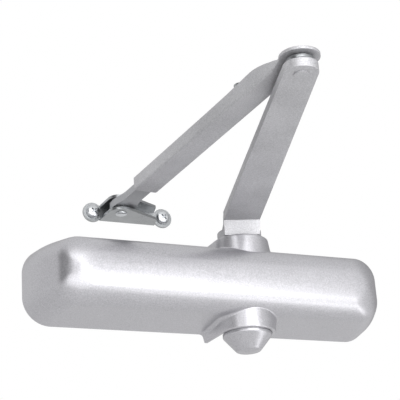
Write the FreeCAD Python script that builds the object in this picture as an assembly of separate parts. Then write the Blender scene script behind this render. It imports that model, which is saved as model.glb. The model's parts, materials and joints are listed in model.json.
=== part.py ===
import FreeCAD, Part
import math
import os

from FreeCAD import Placement, Rotation, Vector

# Surface door closer with a regular double-lever arm, unmounted, arm half folded.
# Millimetres. Origin: the middle of the cover's back, on the door's face.
# +X to the viewer's right, +Y into the door, +Z up. The cover stands out along -Y.

# ---- driving dimensions -------------------------------------------------------------

COVER_LENGTH = 311.0
COVER_HALF_HEIGHT = 32.5
COVER_DEPTH = 61.4
COVER_DRAFT = 5.8            # degrees, top and bottom walls
COVER_EDGE_R = 16.7          # the big rounding along the front edges
COVER_CORNER_BACK_R = 23.0
COVER_CORNER_FRONT_R = 17.3
COVER_WALL = 2.6
END_DRAFT = 7.7              # degrees, first stretch of each end
END_FACET_DEPTH = 22.7       # where the end starts to slant
END_FACET_INSET = 20.5       # how much shorter each end is at the front
END_FRONT_R = 14.0

PINION_X = 24.3
PINION_Y = -31.0
BOSS_RIM_R = 23.3
BOSS_RIM_Z = 39.6
BOSS_BASE_R = 26.6
BOSS_BASE_Z = 22.0
BOSS_FLARE = 1.4             # the legs spread by this much on their way to the door
SLOT_R = 20.7

BODY_HALF_LENGTH = 118.0
BODY_HALF_HEIGHT = 24.5
BORE_R = 19.0
FOOT_HALF_LENGTH = 136.0
FOOT_HALF_HEIGHT = 22.0
FOOT_THICK = 8.0
HOLE_SPACING_X = 254.0
HOLE_SPACING_Z = 19.0
HOLE_R = 3.3
NECK_R = 17.5
NECK_TOP_Z = 36.0

GEAR_MODULE = 1.5
GEAR_TEETH = 12
GEAR_HALF_LENGTH = 14.0
PRESSURE_ANGLE = 20.0
BACKLASH = 0.3
RACK_TIP = 1.0               # height of a rack tooth above the pitch line
RACK_ROOT = 1.9
JOURNAL_R = 8.5
STEM_R = 8.0
SQUARE = 11.0
SQUARE_TOP_Z = 47.0
RUN_GAP = 0.05               # radial clearance of a turning or sliding fit
SEAT_GAP = 0.02              # clearance between pieces that stay together

PISTON_HEAD = 14.0
PISTON_SLOT = 52.0
PISTON_SLOT_LEAD = 12.0
SPRING_SEAT_X = -96.0
SPRING_SEAT_THICK = 4.0
SPRING_MEAN_R = 13.5
SPRING_WIRE_R = 2.1
SPRING_TURNS = 11
CAP_THICK = 17.8
SCREW_R = 5.0

ARM_LENGTH = 280.0
ARM_ANGLE = -106.6           # degrees from +X, seen from above
ARM_HEAD_Z = 41.0
ARM_THICK = 7.3
ARM_BAR_Z = 53.0
ARM_RISER_FOOT = 16.0
ARM_RISER_TOP = 19.7
ARM_HEAD_R = 18.5
ARM_HALF_WIDTHS = ((-4.0, 14.6), (16.0, 14.6), (19.7, 15.2), (130.0, 13.8), (255.0, 12.0))
ARM_HALF_END = 11.6
ARM_TIP_THICK = 6.2          # the bar thins towards the elbow

PIN_R = 5.0
BUSH_R = 9.4
BUSH_HEIGHT = 4.7
SHOE_PIVOT_X = -76.2
SHOE_PIVOT_Y = -19.9
FOREARM_DROOP = 0.44         # degrees, slack of the elbow joint
DISC_R = 13.9
CHANNEL_HALF_NEAR = 9.4      # half width at the elbow
CHANNEL_HALF_FAR = 10.2      # half width at the open end
CHANNEL_SHIFT = 0.3          # the channel and rod lie this far off the line of the pivots
CHANNEL_HEIGHT = 10.4
CHANNEL_WALL = 2.2
CHANNEL_BEND_R = 2.8
CHANNEL_END = 233.0
ROD_HALF = 6.8
ROD_THICK = 6.0
ROD_EYE_R = 9.5
ROD_INNER_END = 46.0
CLAMP_S = 75.5
CLAMP_BLOCK_THICK = 3.2
CLAMP_BLOCK_HALF = 8.0
CLAMP_SCREW_R = 3.0
CLAMP_HEAD_R = 5.0
CLAMP_HEAD_HEIGHT = 5.6
CLAMP_KEY = 5.0              # across the flats of the hexagon socket

SHOE_X = -63.6
SHOE_Z = 67.5
SHOE_SPACING = 62.0
SHOE_HALF_HEIGHT = 6.5
SHOE_WALL = 2.3
EAR_R = 8.3
SHOE_RIVET_R = 4.0
SCREW_NECK_R = 3.1
EAR_HOLE_R = 3.2
SHANK_R = 2.9
SHANK_END = 7.0              # the screws stand this far out of the shoe's back
FLANGE_NOSE_R = 10.5
FLANGE_RIGHT = 24.1          # from the middle of the shoe to the flanges' right edge
FLANGE_RIGHT_DEPTH = 13.4

PINION = Vector(PINION_X, PINION_Y, 0)
PITCH_R = GEAR_MODULE * GEAR_TEETH / 2
ARM_TOP_Z = ARM_BAR_Z + ARM_THICK
BUSH_Z = ARM_BAR_Z + ARM_TIP_THICK + 0.1
FOREARM_Z = BUSH_Z + BUSH_HEIGHT + 0.1
X_AXIS = Vector(1, 0, 0)
Y_AXIS = Vector(0, 1, 0)
Z_AXIS = Vector(0, 0, 1)
ORIGIN = Vector(0, 0, 0)


# ---- shape helpers ------------------------------------------------------------------

def save(name, shape):
    os.makedirs("parts", exist_ok=True)
    shape.exportStep("parts/" + name + ".step")


def block(low, high):
    size = Vector(*high) - Vector(*low)
    return Part.makeBox(size.x, size.y, size.z, Vector(*low))


def rod_z(radius, low, high, centre=ORIGIN):
    start = Vector(centre.x, centre.y, low)
    return Part.makeCylinder(radius, high - low, start, Z_AXIS)


def rod_x(radius, low, high, y=PINION_Y, z=0):
    return Part.makeCylinder(radius, high - low, Vector(low, y, z), X_AXIS)


def rod_y(radius, low, high, x, z):
    return Part.makeCylinder(radius, high - low, Vector(x, low, z), Y_AXIS)


def tube_z(outer, inner, low, high, centre=ORIGIN):
    return rod_z(outer, low, high, centre).cut(rod_z(inner, low - 1, high + 1, centre))


def tube_x(outer, inner, low, high):
    return rod_x(outer, low, high).cut(rod_x(inner, low - 1, high + 1))


def rounded_wire(points, radii):
    """Closed outline in the XY plane whose corners are arcs of the given radii."""
    starts, ends, middles = [], [], []
    count = len(points)
    for i in range(count):
        corner = Vector(*points[i])
        back = (Vector(*points[i - 1]) - corner).normalize()
        ahead = (Vector(*points[(i + 1) % count]) - corner).normalize()
        half = back.getAngle(ahead) / 2
        reach = radii[i] / math.tan(half)
        towards = (back + ahead).normalize()
        starts.append(corner + back * reach)
        ends.append(corner + ahead * reach)
        middles.append(corner + towards * (radii[i] / math.sin(half) - radii[i]))
    edges = []
    for i in range(count):
        if radii[i] > 0:
            edges.append(Part.Arc(starts[i], middles[i], ends[i]).toShape())
        following = starts[(i + 1) % count]
        if (following - ends[i]).Length > 1e-6:
            edges.append(Part.LineSegment(ends[i], following).toShape())
    return Part.Wire(edges)


def prism(points, radii, low, high):
    """Outline in XY, extruded from low to high."""
    solid = Part.Face(rounded_wire(points, radii)).extrude(Vector(0, 0, high - low))
    solid.translate(Vector(0, 0, low))
    return solid


def side_prism(points, radii, half_width):
    """Outline given as (x, z), extruded to both sides along Y."""
    solid = prism(points, radii, -half_width, half_width)
    solid.rotate(ORIGIN, X_AXIS, 90)
    return solid


def turned(profile, centre=ORIGIN):
    """Solid of revolution about Z from a closed list of (radius, z)."""
    points = [Vector(r, 0, z) for r, z in profile]
    solid = Part.Face(Part.makePolygon(points + points[:1])).revolve(ORIGIN, Z_AXIS, 360)
    solid.translate(centre)
    return solid


def hexagon(across, low, high, centre=ORIGIN):
    corner = across / math.sqrt(3)
    points = []
    for i in range(6):
        angle = math.radians(60 * i)
        points.append((corner * math.cos(angle), corner * math.sin(angle)))
    solid = prism(points, [0] * 6, low, high)
    solid.translate(Vector(centre.x, centre.y, 0))
    return solid


def mirrored_z(shape):
    return shape.mirror(ORIGIN, Z_AXIS)


def lay_x(shape, centre=Vector(0, PINION_Y, 0)):
    """Turns a piece made about Z so that its +Z points along +X."""
    piece = shape.copy()
    piece.rotate(ORIGIN, Y_AXIS, 90)
    piece.translate(centre)
    return piece


# ---- cover --------------------------------------------------------------------------

def end_inset(depth):
    """How far the end of the cover has come in at this depth."""
    slow = depth * math.tan(math.radians(END_DRAFT))
    knee = END_FACET_DEPTH * math.tan(math.radians(END_DRAFT))
    slope = (END_FACET_INSET - knee) / (COVER_DEPTH - END_FACET_DEPTH)
    fast = knee + (depth - END_FACET_DEPTH) * slope
    return max(slow, fast)


def rounding(depth, radius, full_depth):
    """Extra inset of a wall where the front edge is rounded off."""
    into = depth - (full_depth - radius)
    if into <= 0:
        return 0.0
    return radius - math.sqrt(max(radius ** 2 - into ** 2, 0.0))


def cover_section(depth, wall):
    full_depth = COVER_DEPTH - wall
    half_x = COVER_LENGTH / 2 - wall - end_inset(depth)
    half_x -= rounding(depth, END_FRONT_R - wall, full_depth)
    half_z = COVER_HALF_HEIGHT - wall - depth * math.tan(math.radians(COVER_DRAFT))
    half_z -= rounding(depth, COVER_EDGE_R - wall, full_depth)
    share = max(depth, 0) / COVER_DEPTH
    corner = COVER_CORNER_BACK_R + (COVER_CORNER_FRONT_R - COVER_CORNER_BACK_R) * share
    corner = min(corner - wall, half_z * 0.98)
    outline = [(-half_x, -half_z), (half_x, -half_z), (half_x, half_z), (-half_x, half_z)]
    wire = rounded_wire(outline, [corner] * 4)
    wire.rotate(ORIGIN, X_AXIS, 90)
    wire.translate(Vector(0, -depth, 0))
    return wire


def cover_form(wall, start):
    """Solid form of the cover, set back by the wall on every side but the door's."""
    full_depth = COVER_DEPTH - wall
    radius = COVER_EDGE_R - wall
    straight = full_depth - radius
    depths = [start, 8, END_FACET_DEPTH - 5, END_FACET_DEPTH + 5, 36, straight]
    angles = (18, 35, 50, 63, 74, 83, 90)
    depths += [straight + radius * math.sin(math.radians(angle)) for angle in angles]
    return Part.makeLoft([cover_section(d, wall) for d in depths], True, False)


def boss_wire(radius, centre_y, z):
    """U outline around the pinion, open legs running back to the door."""
    left = PINION_X - radius
    right = PINION_X + radius
    nose = centre_y - radius
    edges = [
        Part.LineSegment(Vector(left - BOSS_FLARE, 0, z), Vector(left, centre_y, z)).toShape(),
        Part.Arc(Vector(left, centre_y, z), Vector(PINION_X, nose, z),
                 Vector(right, centre_y, z)).toShape(),
        Part.LineSegment(Vector(right, centre_y, z), Vector(right + BOSS_FLARE, 0, z)).toShape(),
        Part.LineSegment(Vector(right + BOSS_FLARE, 0, z), Vector(left - BOSS_FLARE, 0, z)).toShape(),
    ]
    return Part.Wire(edges)


def boss():
    """The sides lean inwards to the rim and the nose stands upright."""
    base_y = PINION_Y + BOSS_BASE_R - BOSS_RIM_R
    base = boss_wire(BOSS_BASE_R, base_y, BOSS_BASE_Z)
    rim = boss_wire(BOSS_RIM_R, PINION_Y, BOSS_RIM_Z)
    return Part.makeLoft([base, rim], True, True)


def cover():
    shell = cover_form(0, 0).fuse(boss()).fuse(mirrored_z(boss()))
    shell = shell.cut(cover_form(COVER_WALL, -1))
    reach = BOSS_RIM_Z + 1
    slot = Part.Face(boss_wire(SLOT_R, PINION_Y, -reach)).extrude(Vector(0, 0, 2 * reach))
    half = SLOT_R + BOSS_FLARE
    behind = block((PINION_X - half, -1, -reach), (PINION_X + half, 1, reach))
    return shell.cut(slot.fuse(behind))


# ---- body housing and what closes it ------------------------------------------------

VALVES = {"sweep_valve": 80.0, "latch_valve": 62.0, "backcheck_valve": -30.0}
VALVE_Y = -8.5
VALVE_R = 3.3
VALVE_LOW = -24.3
VALVE_TOP = -7.5
PORT_R = 1.0
PORT_Z = -9.5
BEARING_R = 12.0
BEARING_Z = (20.0, 29.4)
NUT_R = 13.95
NUT_Z = (29.6, 38.4)
CAP_COLLAR_R = NUT_R + SEAT_GAP
SEAL_R = 11.5
SEAL_Z = (29.7, 33.5)
CLIP_X = 122.0
CLIP_REACH = 148.9
CLIP_THICK = 0.98
CLIP_HALF = 5.0


def body_housing():
    half = BODY_HALF_LENGTH
    low, high = -BODY_HALF_HEIGHT, BODY_HALF_HEIGHT
    body = block((-half, PINION_Y, low), (half, 0, high))
    body = body.fuse(rod_x(BODY_HALF_HEIGHT, -half, half))
    foot = [(-FOOT_HALF_LENGTH, -FOOT_HALF_HEIGHT), (FOOT_HALF_LENGTH, -FOOT_HALF_HEIGHT),
            (FOOT_HALF_LENGTH, FOOT_HALF_HEIGHT), (-FOOT_HALF_LENGTH, FOOT_HALF_HEIGHT)]
    plate = prism(foot, [8] * 4, 0, FOOT_THICK)
    plate.rotate(ORIGIN, X_AXIS, 90)
    body = body.fuse(plate).fuse(rod_z(NECK_R, -NECK_TOP_Z, NECK_TOP_Z, PINION))
    body = body.cut(rod_x(BORE_R, -half - 1, half + 1))
    body = body.cut(rod_z(BEARING_R + SEAT_GAP, -NUT_Z[0], NUT_Z[0], PINION))
    for side in (1, -1):
        low, high = sorted((side * NUT_Z[0], side * (NECK_TOP_Z + 1)))
        body = body.cut(rod_z(NUT_R + SEAT_GAP, low, high, PINION))
    for x in VALVES.values():
        seat = Vector(x, VALVE_Y, 0)
        body = body.cut(rod_z(VALVE_R + RUN_GAP, -BODY_HALF_HEIGHT - 1, VALVE_TOP, seat))
        body = body.cut(rod_y(PORT_R, PINION_Y + 10, VALVE_Y, x, PORT_Z))
    for x in (-HOLE_SPACING_X / 2, HOLE_SPACING_X / 2):
        for z in (-HOLE_SPACING_Z / 2, HOLE_SPACING_Z / 2):
            body = body.cut(rod_y(HOLE_R, -FOOT_THICK - 1, 1, x, z))
    for side in (1, -1):
        body = body.cut(rod_y(1.5, -FOOT_THICK - 1, -1, side * (CLIP_X + 5), 0))
    return body.removeSplitter()


def pinion_bearing():
    return tube_z(BEARING_R, JOURNAL_R + RUN_GAP, BEARING_Z[0], BEARING_Z[1], PINION)


def packing_nut():
    nut = rod_z(NUT_R, NUT_Z[0], NUT_Z[1], PINION)
    nut = nut.cut(rod_z(STEM_R + 0.6, NUT_Z[0] - 1, NUT_Z[1] + 1, PINION))
    nut = nut.cut(rod_z(SEAL_R + SEAT_GAP, NUT_Z[0] - 1, SEAL_Z[1] + 0.1, PINION))
    for angle in (0, 90, 180, 270):
        spanner = rod_z(1.3, NUT_Z[1] - 2, NUT_Z[1] + 1, Vector(11.3, 0, 0))
        spanner.rotate(ORIGIN, Z_AXIS, angle)
        spanner.translate(PINION)
        nut = nut.cut(spanner)
    return nut


def pinion_seals():
    top = tube_z(SEAL_R, STEM_R + RUN_GAP, SEAL_Z[0], SEAL_Z[1], PINION)
    return Part.makeCompound([top, mirrored_z(top)])


def pinion_cap():
    """Thin conical cap, pressed onto the lower nut, that hides the pinion's unused end."""
    skirt = [(20.1, -38.6), (20.1, -41.6), (19.6, -42.3), (10.4, -53.6), (9.0, -54.6), (0, -55.3),
             (0, -53.3), (8.0, -52.6), (16.4, -42.6), (18.2, -41.2), (18.2, -38.6)]
    collar = [(CAP_COLLAR_R, -36.3), (15.6, -36.3), (15.6, -44.5), (CAP_COLLAR_R, -46.5)]
    return turned(skirt, PINION).fuse(turned(collar, PINION)).removeSplitter()


END_RING_R = 16.8


def end_cap(hole_r):
    """Plug screwed into the bore, made about Z from 0 (inner face) to its length."""
    plug = rod_z(BORE_R - SEAT_GAP, 0, CAP_THICK)
    plug = plug.cut(tube_z(BORE_R + 1, END_RING_R, 4, 6.4))
    for angle in range(0, 360, 90):
        socket = rod_z(2.2, CAP_THICK - 4, CAP_THICK + 1, Vector(12.5, 0, 0))
        socket.rotate(ORIGIN, Z_AXIS, angle + 45)
        plug = plug.cut(socket)
    if hole_r:
        plug = plug.cut(rod_z(hole_r, -1, CAP_THICK + 1))
    return plug


def end_ring():
    return tube_z(BORE_R - SEAT_GAP, END_RING_R + SEAT_GAP, 4.05, 6.35)


def on_right_end(shape):
    return lay_x(shape, Vector(BODY_HALF_LENGTH - CAP_THICK, PINION_Y, 0))


def on_left_end(shape):
    piece = lay_x(shape, Vector(BODY_HALF_LENGTH - CAP_THICK, PINION_Y, 0))
    return piece.mirror(ORIGIN, X_AXIS)


def cover_clip(side):
    """Spring clip on the housing's foot that the cover snaps onto."""
    front = -FOOT_THICK - CLIP_THICK
    strip = [(CLIP_X, front), (CLIP_REACH - CLIP_THICK, front), (CLIP_REACH - CLIP_THICK, front - 14),
             (CLIP_REACH, front - 14), (CLIP_REACH, -FOOT_THICK), (CLIP_X, -FOOT_THICK)]
    clip = prism(strip, [0, 1, 0, 0, 1.9, 0], -CLIP_HALF, CLIP_HALF)
    clip = clip.cut(rod_y(1.7, -FOOT_THICK - 3, -FOOT_THICK + 1, CLIP_X + 5, 0))
    if side < 0:
        clip = clip.mirror(ORIGIN, X_AXIS)
    return clip


def clip_screw(side):
    x = side * (CLIP_X + 5)
    low = -FOOT_THICK - CLIP_THICK
    head = rod_y(3.0, low - 2.0, low - SEAT_GAP, x, 0)
    head = head.cut(block((x - 4, low - 3, -0.4), (x + 4, low - 1.2, 0.4)))
    return head.fuse(rod_y(1.45, low - 1, -1.6, x, 0))


# ---- pinion, piston and spring ------------------------------------------------------

def flank_angle(base_r, radius):
    """How far an involute flank has turned at this radius from where it starts."""
    roll = math.sqrt(max((radius / base_r) ** 2 - 1, 0.0))
    return roll - math.atan(roll)


def pinion_gear():
    base_r = PITCH_R * math.cos(math.radians(PRESSURE_ANGLE))
    tip_r = PITCH_R + GEAR_MODULE
    root_r = PITCH_R - 1.25 * GEAR_MODULE
    tilt = math.radians(PRESSURE_ANGLE)
    half_tooth = (math.pi * GEAR_MODULE / 2 - BACKLASH) / (2 * PITCH_R)
    half_base = half_tooth + math.tan(tilt) - tilt
    points = []
    for tooth in range(GEAR_TEETH):
        # a gap between two teeth faces the rack, which lies towards -Y
        centre = math.radians(-90) + (tooth + 0.5) * 2 * math.pi / GEAR_TEETH
        flank = []
        for step in range(5):
            radius = base_r + (tip_r - base_r) * step / 4
            flank.append((radius, half_base - flank_angle(base_r, radius)))
        points.append((root_r, centre - half_base))
        points += [(r, centre - a) for r, a in flank]
        points += [(r, centre + a) for r, a in reversed(flank)]
        points.append((root_r, centre + half_base))
    corners = [Vector(r * math.cos(a), r * math.sin(a), -GEAR_HALF_LENGTH) for r, a in points]
    face = Part.Face(Part.makePolygon(corners + corners[:1]))
    return face.extrude(Vector(0, 0, 2 * GEAR_HALF_LENGTH))


def pinion():
    shaft = pinion_gear()
    for side in (1, -1):
        for radius, near, far in ((JOURNAL_R, GEAR_HALF_LENGTH, 29.5), (STEM_R, 29.5, ARM_HEAD_Z)):
            low, high = sorted((side * near, side * far))
            shaft = shaft.fuse(rod_z(radius, low, high))
    half = SQUARE / 2
    bevel = [2.0] * 4
    corners = [(-half, -half), (half, -half), (half, half), (-half, half)]
    shaft = shaft.fuse(prism(corners, bevel, ARM_HEAD_Z, SQUARE_TOP_Z))
    shaft = shaft.fuse(prism(corners, bevel, -SQUARE_TOP_Z, -ARM_HEAD_Z))
    shaft = shaft.cut(rod_z(4.0 + SEAT_GAP, SQUARE_TOP_Z - 16, SQUARE_TOP_Z + 1))
    shaft.translate(PINION)
    return shaft


SLOT_START = PINION_X - PISTON_SLOT_LEAD
PISTON_LEFT = SLOT_START - PISTON_HEAD
PISTON_RIGHT = SLOT_START + PISTON_SLOT + PISTON_HEAD
PISTON_R = BORE_R - RUN_GAP
RING_DEPTH = 1.8
VALVE_BALL_R = 2.6
BALL_PLACE = 6.85            # from the piston's left face to the ball, just off its seat


def rack_teeth():
    """Teeth on the front wall of the piston's slot, pointing back at the pinion."""
    pitch = math.pi * GEAR_MODULE
    line_y = PINION_Y - PITCH_R
    lean = math.tan(math.radians(PRESSURE_ANGLE))
    half = pitch / 4
    tip_half = half - RACK_TIP * lean
    root_half = half + RACK_ROOT * lean
    count = int((PISTON_SLOT - PISTON_SLOT_LEAD) / pitch)
    teeth = []
    for i in range(-1, count):
        x = PINION_X + i * pitch
        outline = [(x - root_half, line_y - RACK_ROOT - 0.5), (x + root_half, line_y - RACK_ROOT - 0.5),
                   (x + root_half, line_y - RACK_ROOT), (x + tip_half, line_y + RACK_TIP),
                   (x - tip_half, line_y + RACK_TIP), (x - root_half, line_y - RACK_ROOT)]
        teeth.append(prism(outline, [0] * 6, -GEAR_HALF_LENGTH + 1, GEAR_HALF_LENGTH - 1))
    return teeth


def rack_piston():
    piston = rod_x(PISTON_R, PISTON_LEFT, PISTON_RIGHT)
    front = PINION_Y - PITCH_R - RACK_ROOT
    back = PINION_Y + PITCH_R + GEAR_MODULE + 0.6
    piston = piston.cut(block((SLOT_START, front, -30), (SLOT_START + PISTON_SLOT, back, 30)))
    for tooth in rack_teeth():
        piston = piston.fuse(tooth)
    for low in (PISTON_LEFT + 4, PISTON_RIGHT - 6):
        piston = piston.cut(tube_x(PISTON_R + 1, PISTON_R - RING_DEPTH, low, low + 2))
    piston = piston.cut(rod_x(3.2, PISTON_LEFT - 1, PISTON_LEFT + 9))
    piston = piston.cut(rod_x(1.6, PISTON_LEFT, SLOT_START + 1))
    return piston


def piston_rings():
    rings = []
    for low in (PISTON_LEFT + 4, PISTON_RIGHT - 6):
        rings.append(tube_x(PISTON_R, PISTON_R - RING_DEPTH + SEAT_GAP, low + 0.05, low + 1.95))
    return Part.makeCompound(rings)


def check_ball():
    return Part.makeSphere(VALVE_BALL_R, Vector(PISTON_LEFT + BALL_PLACE, PINION_Y, 0))


def check_plug():
    return tube_x(3.2 - SEAT_GAP, 1.4, PISTON_LEFT + 0.2, PISTON_LEFT + 3.4)


def closing_spring():
    start = SPRING_SEAT_X + SPRING_WIRE_R + 0.1
    length = PISTON_LEFT - SPRING_WIRE_R - 0.1 - start
    helix = Part.makeHelix(length / SPRING_TURNS, length, SPRING_MEAN_R)
    circle = Part.Circle(Vector(SPRING_MEAN_R, 0, 0), Y_AXIS, SPRING_WIRE_R).toShape()
    coil = Part.Wire(helix).makePipeShell([Part.Wire(circle)], True, True)
    return lay_x(coil, Vector(start, PINION_Y, 0))


def spring_seat():
    right = SPRING_SEAT_X
    seat = rod_x(BORE_R - 0.3, right - SPRING_SEAT_THICK, right)
    seat = seat.fuse(rod_x(SPRING_MEAN_R - SPRING_WIRE_R - 0.6, right, right + 6))
    return seat.cut(rod_x(SCREW_R + RUN_GAP, right - 10, right + 10))


def power_screw():
    """Screw that turns in the left end cap and walks the spring seat along."""
    left = -BODY_HALF_LENGTH
    screw = rod_x(SCREW_R, left - 1, SPRING_SEAT_X + 18)
    head = rod_x(7.5, left - 5, left - 0.1)
    drive = lay_x(hexagon(6.0, left - 6, left - 1), Vector(0, PINION_Y, 0))
    return screw.fuse(head).cut(drive)


def valve(x):
    """Regulating screw: slotted head, stem with a ring groove, tapered tip."""
    centre = Vector(x, VALVE_Y, 0)
    profile = [(0, VALVE_LOW), (VALVE_R, VALVE_LOW), (VALVE_R, -20.2), (2.3, -20.2), (2.3, -18.6),
               (VALVE_R, -18.6), (VALVE_R, -14), (2.4, -13), (0.7, -8.2), (0, -8.2)]
    stem = turned(profile, centre)
    slot = block((x - 4, VALVE_Y - 0.5, VALVE_LOW - 1), (x + 4, VALVE_Y + 0.5, VALVE_LOW + 1.6))
    return stem.cut(slot)


def valve_ring(x):
    return tube_z(VALVE_R, 2.3 + SEAT_GAP, -20.15, -18.65, Vector(x, VALVE_Y, 0))


# ---- main arm -----------------------------------------------------------------------

def on_arm(shape):
    """Moves a piece made along +X from the pinion's axis to its place in the arm."""
    piece = shape.copy()
    piece.rotate(ORIGIN, Z_AXIS, ARM_ANGLE)
    piece.translate(PINION)
    return piece


ARM_DIRECTION = Vector(math.cos(math.radians(ARM_ANGLE)), math.sin(math.radians(ARM_ANGLE)), 0)
ELBOW = PINION + ARM_DIRECTION * ARM_LENGTH


def main_arm():
    tip = ARM_LENGTH + ARM_HALF_END - 0.2
    lean = ARM_RISER_TOP - ARM_RISER_FOOT
    side = [(-ARM_HEAD_R, ARM_HEAD_Z), (ARM_RISER_FOOT, ARM_HEAD_Z), (ARM_RISER_TOP, ARM_BAR_Z),
            (tip, ARM_BAR_Z), (tip, ARM_BAR_Z + ARM_TIP_THICK), (ARM_RISER_TOP - ARM_THICK + 1.0, ARM_TOP_Z),
            (ARM_RISER_TOP - ARM_THICK + 1.0 - lean, ARM_HEAD_Z + ARM_THICK),
            (-ARM_HEAD_R, ARM_HEAD_Z + ARM_THICK)]
    bent = side_prism(side, [0, 1.5, 0.8, 0, 0, 7.0, 2.0, 0], 30)
    half = list(ARM_HALF_WIDTHS) + [(tip, ARM_HALF_END)]
    outline = [(x, -y) for x, y in half] + [(x, y) for x, y in reversed(half)]
    bends = [1, 5, 5, 3000, 2000, ARM_HALF_END - 0.1]
    plan = prism(outline, bends + bends[::-1], ARM_HEAD_Z - 1, ARM_TOP_Z + 1)
    plan = plan.fuse(rod_z(ARM_HEAD_R, ARM_HEAD_Z - 1, ARM_TOP_Z + 1))
    arm = bent.common(plan)
    hole = SQUARE / 2 + SEAT_GAP
    corners = [(-hole, -hole), (hole, -hole), (hole, hole), (-hole, hole)]
    socket = prism(corners, [2.0] * 4, ARM_HEAD_Z - 1, ARM_HEAD_Z + ARM_THICK + 1)
    socket.rotate(ORIGIN, Z_AXIS, -ARM_ANGLE)
    arm = arm.cut(socket)
    arm = arm.cut(rod_z(PIN_R + SEAT_GAP, ARM_BAR_Z - 1, ARM_TOP_Z + 1, Vector(ARM_LENGTH, 0, 0)))
    return on_arm(arm)


def arm_washer():
    top = ARM_HEAD_Z + ARM_THICK
    return tube_z(8.0, 4.3, top + SEAT_GAP, top + 1.5, PINION)


def arm_screw():
    low = ARM_HEAD_Z + ARM_THICK + 1.52
    screw = hexagon(12.0, low, low + 5.0).common(rod_z(6.7, low, low + 5.0))
    screw = screw.fuse(rod_z(4.0, SQUARE_TOP_Z - 14, low))
    screw.translate(PINION)
    return screw


def elbow_pin():
    """Rivet of the elbow: domed head under the bar, head on top of the forearm."""
    top = FOREARM_Z + CHANNEL_WALL + 0.25
    profile = [(0, ARM_BAR_Z - 1.1), (2.6, ARM_BAR_Z - 0.95), (4.4, ARM_BAR_Z - 0.5),
               (PIN_R, ARM_BAR_Z - SEAT_GAP), (PIN_R, top),
               (8.0, top), (8.0, top + 1.6), (6.5, top + 2.4), (0, top + 2.8)]
    return turned(profile, ELBOW)


def elbow_bush():
    return tube_z(BUSH_R, PIN_R + SEAT_GAP, BUSH_Z, BUSH_Z + BUSH_HEIGHT, ELBOW)


# ---- forearm, adjusting rod and shoe ------------------------------------------------

SHOE_PIVOT = Vector(SHOE_PIVOT_X, SHOE_PIVOT_Y, 0)
REACH = (SHOE_PIVOT - ELBOW).Length
FOREARM_ANGLE = math.degrees(math.atan2(SHOE_PIVOT.y - ELBOW.y, SHOE_PIVOT.x - ELBOW.x))
ROD_Z = FOREARM_Z + CHANNEL_WALL + RUN_GAP


def on_forearm(shape):
    """Moves a piece made along +X from the elbow to its place, drooping slightly."""
    piece = shape.copy()
    piece.rotate(Vector(0, 0, FOREARM_Z), Y_AXIS, FOREARM_DROOP)
    piece.rotate(ORIGIN, Z_AXIS, FOREARM_ANGLE)
    piece.translate(ELBOW)
    return piece


def channel_section(s, outer):
    """U section of the channel, of this half width, at this distance from the elbow."""
    inner = outer - CHANNEL_WALL
    outline = [(-outer, 0), (outer, 0), (outer, CHANNEL_HEIGHT), (inner, CHANNEL_HEIGHT),
               (inner, CHANNEL_WALL), (-inner, CHANNEL_WALL),
               (-inner, CHANNEL_HEIGHT), (-outer, CHANNEL_HEIGHT)]
    wire = rounded_wire(outline, [CHANNEL_BEND_R, CHANNEL_BEND_R, 0.7, 0.7, 0.3, 0.3, 0.7, 0.7])
    wire.rotate(ORIGIN, X_AXIS, 90)
    wire.rotate(ORIGIN, Z_AXIS, 90)
    wire.translate(Vector(s, -CHANNEL_SHIFT, FOREARM_Z))
    return wire


def forearm():
    top = FOREARM_Z + CHANNEL_HEIGHT
    web_top = FOREARM_Z + CHANNEL_WALL
    near = CHANNEL_HALF_NEAR
    sections = [channel_section(10, near), channel_section(CHANNEL_END, CHANNEL_HALF_FAR)]
    channel = Part.makeLoft(sections, True, True)
    side = [(14, FOREARM_Z - 1), (CHANNEL_END, FOREARM_Z - 1), (CHANNEL_END, top + 1),
            (46, top + 1), (42, top), (14, web_top + 0.2)]
    channel = channel.common(side_prism(side, [0, 0, 0, 0, 12, 4], 20))
    low, high = -near - CHANNEL_SHIFT, near - CHANNEL_SHIFT
    plan = [(-DISC_R, -DISC_R), (6, -DISC_R), (26, low), (40, low),
            (40, high), (26, high), (6, DISC_R), (-DISC_R, DISC_R)]
    web = prism(plan, [DISC_R - 0.05, 8, 12, 0, 0, 12, 8, DISC_R - 0.05], FOREARM_Z, web_top)
    web = web.cut(rod_z(PIN_R + 0.1, 0, 100))
    return on_forearm(channel.fuse(web).removeSplitter())


def clamp_block():
    """Threaded block welded between the channel's walls, above the rod."""
    half = CHANNEL_HALF_NEAR - CHANNEL_WALL
    low = ROD_Z + ROD_THICK + 0.2
    near, far = CLAMP_S - CLAMP_BLOCK_HALF, CLAMP_S + CLAMP_BLOCK_HALF
    outline = [(near, -half), (far, -half), (far, half), (near, half)]
    piece = prism(outline, [1.0] * 4, low, low + CLAMP_BLOCK_THICK)
    piece = piece.cut(rod_z(CLAMP_SCREW_R + RUN_GAP, low - 1, low + 6, Vector(CLAMP_S, 0, 0)))
    piece.translate(Vector(0, -CHANNEL_SHIFT, 0))
    return on_forearm(piece)


def clamp_screw():
    low = ROD_Z + ROD_THICK + 0.1
    under = low + CLAMP_BLOCK_THICK + 0.3
    top = under + CLAMP_HEAD_HEIGHT
    screw = rod_z(CLAMP_SCREW_R, low, under).fuse(rod_z(CLAMP_HEAD_R, under, top))
    screw = screw.cut(hexagon(CLAMP_KEY, top - 3.0, top + 1.0))
    screw.translate(Vector(CLAMP_S, -CHANNEL_SHIFT, 0))
    return on_forearm(screw)


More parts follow.
